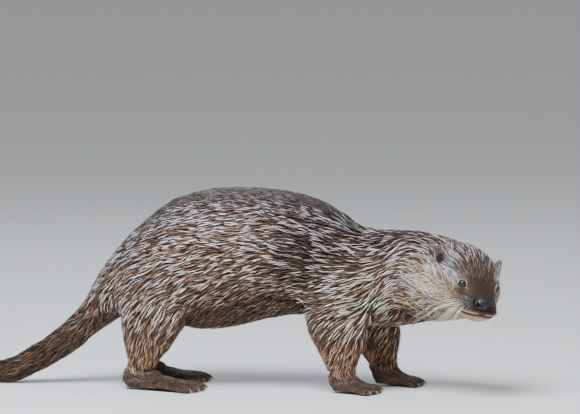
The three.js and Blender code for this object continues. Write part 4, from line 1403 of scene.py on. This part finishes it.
# Lamps: name, place, watts, width, colour. They hang round the middle of the body and point at it.
LAMPS = [
    ("key", (-0.1, -1.1, 1.9), 126, 1.4, "#e4eeff"),
    ("fill", (1.9, -1.6, 0.8), 9, 1.4, "#fff6ea"),
    ("rim", (-0.4, 1.6, 1.8), 20, 1.2, "#e6efff"),
]
LAMP_AIM = (0.05, 0.0, 0.15)
SKY = [(0.0, "#b9bcc0"), (0.25, "#cfd5dc"), (0.9, "#f2f7ff")]
SKY_STRENGTH = 0.6
FLOOR_REACH, FLOOR_DROP = 40.0, 0.0002
# A long lens and its sensor, in millimetres, and how far off it stands, in metres: to the otter's right,
# nine degrees ahead and six degrees above the place that it looks at.
LENS, SENSOR, CAMERA_FAR = 600, 36, 14.69
CAMERA_AIM, CAMERA_WAY = (0.1394, 0.0494, 0.2721), (0.1556, -0.982, 0.1045)


class OTTER_OT_stage(bpy.types.Operator):
    """Lays the pale floor, hangs the soft lamps and sets the camera"""

    bl_idname = "otter.stage"
    bl_label = "Stage"

    def execute(self, context):
        scene = context.scene
        corners = np.array([(-1, -1, 0), (1, -1, 0), (1, 1, 0), (-1, 1, 0)]) * FLOOR_REACH
        floor = add_mesh("floor", corners - (0, 0, FLOOR_DROP), np.array([[0, 1, 2, 3]]))
        paint, tree, shader = material("matt_floor")
        wired(tree, shader, {"Base Color": to_linear("#cfcdc8"), "Roughness": 0.9})
        floor.data.materials.append(paint)
        world = bpy.data.worlds.new("studio")
        world.use_nodes = True
        tree = world.node_tree
        way = add_node(tree, "TexCoord", {}, out="Generated")
        height = add_node(tree, "SeparateXYZ", {"Vector": way}, out="Z")
        stops = [(place, to_linear(code)) for place, code in SKY]
        sky = add_node(tree, "ValToRGB", {"Fac": height}, stops=stops)
        wired(tree, tree.nodes["Background"], {"Color": sky, "Strength": SKY_STRENGTH})
        scene.world = world
        for name, place, power, wide, code in LAMPS:
            lamp = bpy.data.lights.new(name, "AREA")
            lamp.energy, lamp.size, lamp.color, lamp.shape = power, wide, to_linear(code), "DISK"
            obj = bpy.data.objects.new(name, lamp)
            scene.collection.objects.link(obj)
            aim(obj, np.array(place), np.array(LAMP_AIM))
        camera = bpy.data.objects.new("camera", bpy.data.cameras.new("camera"))
        scene.collection.objects.link(camera)
        camera.data.lens, camera.data.sensor_width = LENS, SENSOR
        aim(camera, np.array(CAMERA_AIM) + unit(np.array(CAMERA_WAY)) * CAMERA_FAR, np.array(CAMERA_AIM))
        scene.camera = camera
        return {"FINISHED"}


def aim(obj, place, target):
    """Puts a lamp or the camera at a place and turns its -Z axis to a target with +Y up."""
    obj.location = place
    obj.rotation_euler = Vector(target - place).to_track_quat("-Z", "Y").to_euler()


class OTTER_PT_panel(bpy.types.Panel):
    """Lists the otter's pieces and their settings in the sidebar"""

    bl_idname = "OTTER_PT_panel"
    bl_label = "Eurasian Otter"
    bl_space_type = "VIEW_3D"
    bl_region_type = "UI"
    bl_category = "Otter"

    def draw(self, context):
        for operator in OPERATORS:
            self.layout.operator(operator.bl_idname)
        for key in GROUPS:
            box = self.layout.box()
            group = getattr(context.scene, key)
            for name in group.__annotations__:
                box.prop(group, name)


GROUPS = {"otter_skin": OtterSkin, "otter_coat": OtterCoat, "otter_colours": OtterColours}
OPERATORS = [
    OTTER_OT_skin,
    OTTER_OT_coat,
    OTTER_OT_eyes,
    OTTER_OT_nose,
    OTTER_OT_claws,
    OTTER_OT_whiskers,
    OTTER_OT_stage,
]


def register():
    """Adds the settings, operators and panel."""
    for made in [*GROUPS.values(), *OPERATORS, OTTER_PT_panel]:
        bpy.utils.register_class(made)
    for key, group in GROUPS.items():
        setattr(bpy.types.Scene, key, bpy.props.PointerProperty(type=group))


def unregister():
    """Takes them away again."""
    for key in GROUPS:
        delattr(bpy.types.Scene, key)
    for made in reversed([*GROUPS.values(), *OPERATORS, OTTER_PT_panel]):
        bpy.utils.unregister_class(made)


def main():
    """Builds every piece in order."""
    register()
    bpy.ops.otter.skin()
    bpy.ops.otter.coat()
    bpy.ops.otter.eyes()
    bpy.ops.otter.nose()
    bpy.ops.otter.claws()
    bpy.ops.otter.whiskers()
    bpy.ops.otter.stage()


if __name__ == "__main__":
    main()
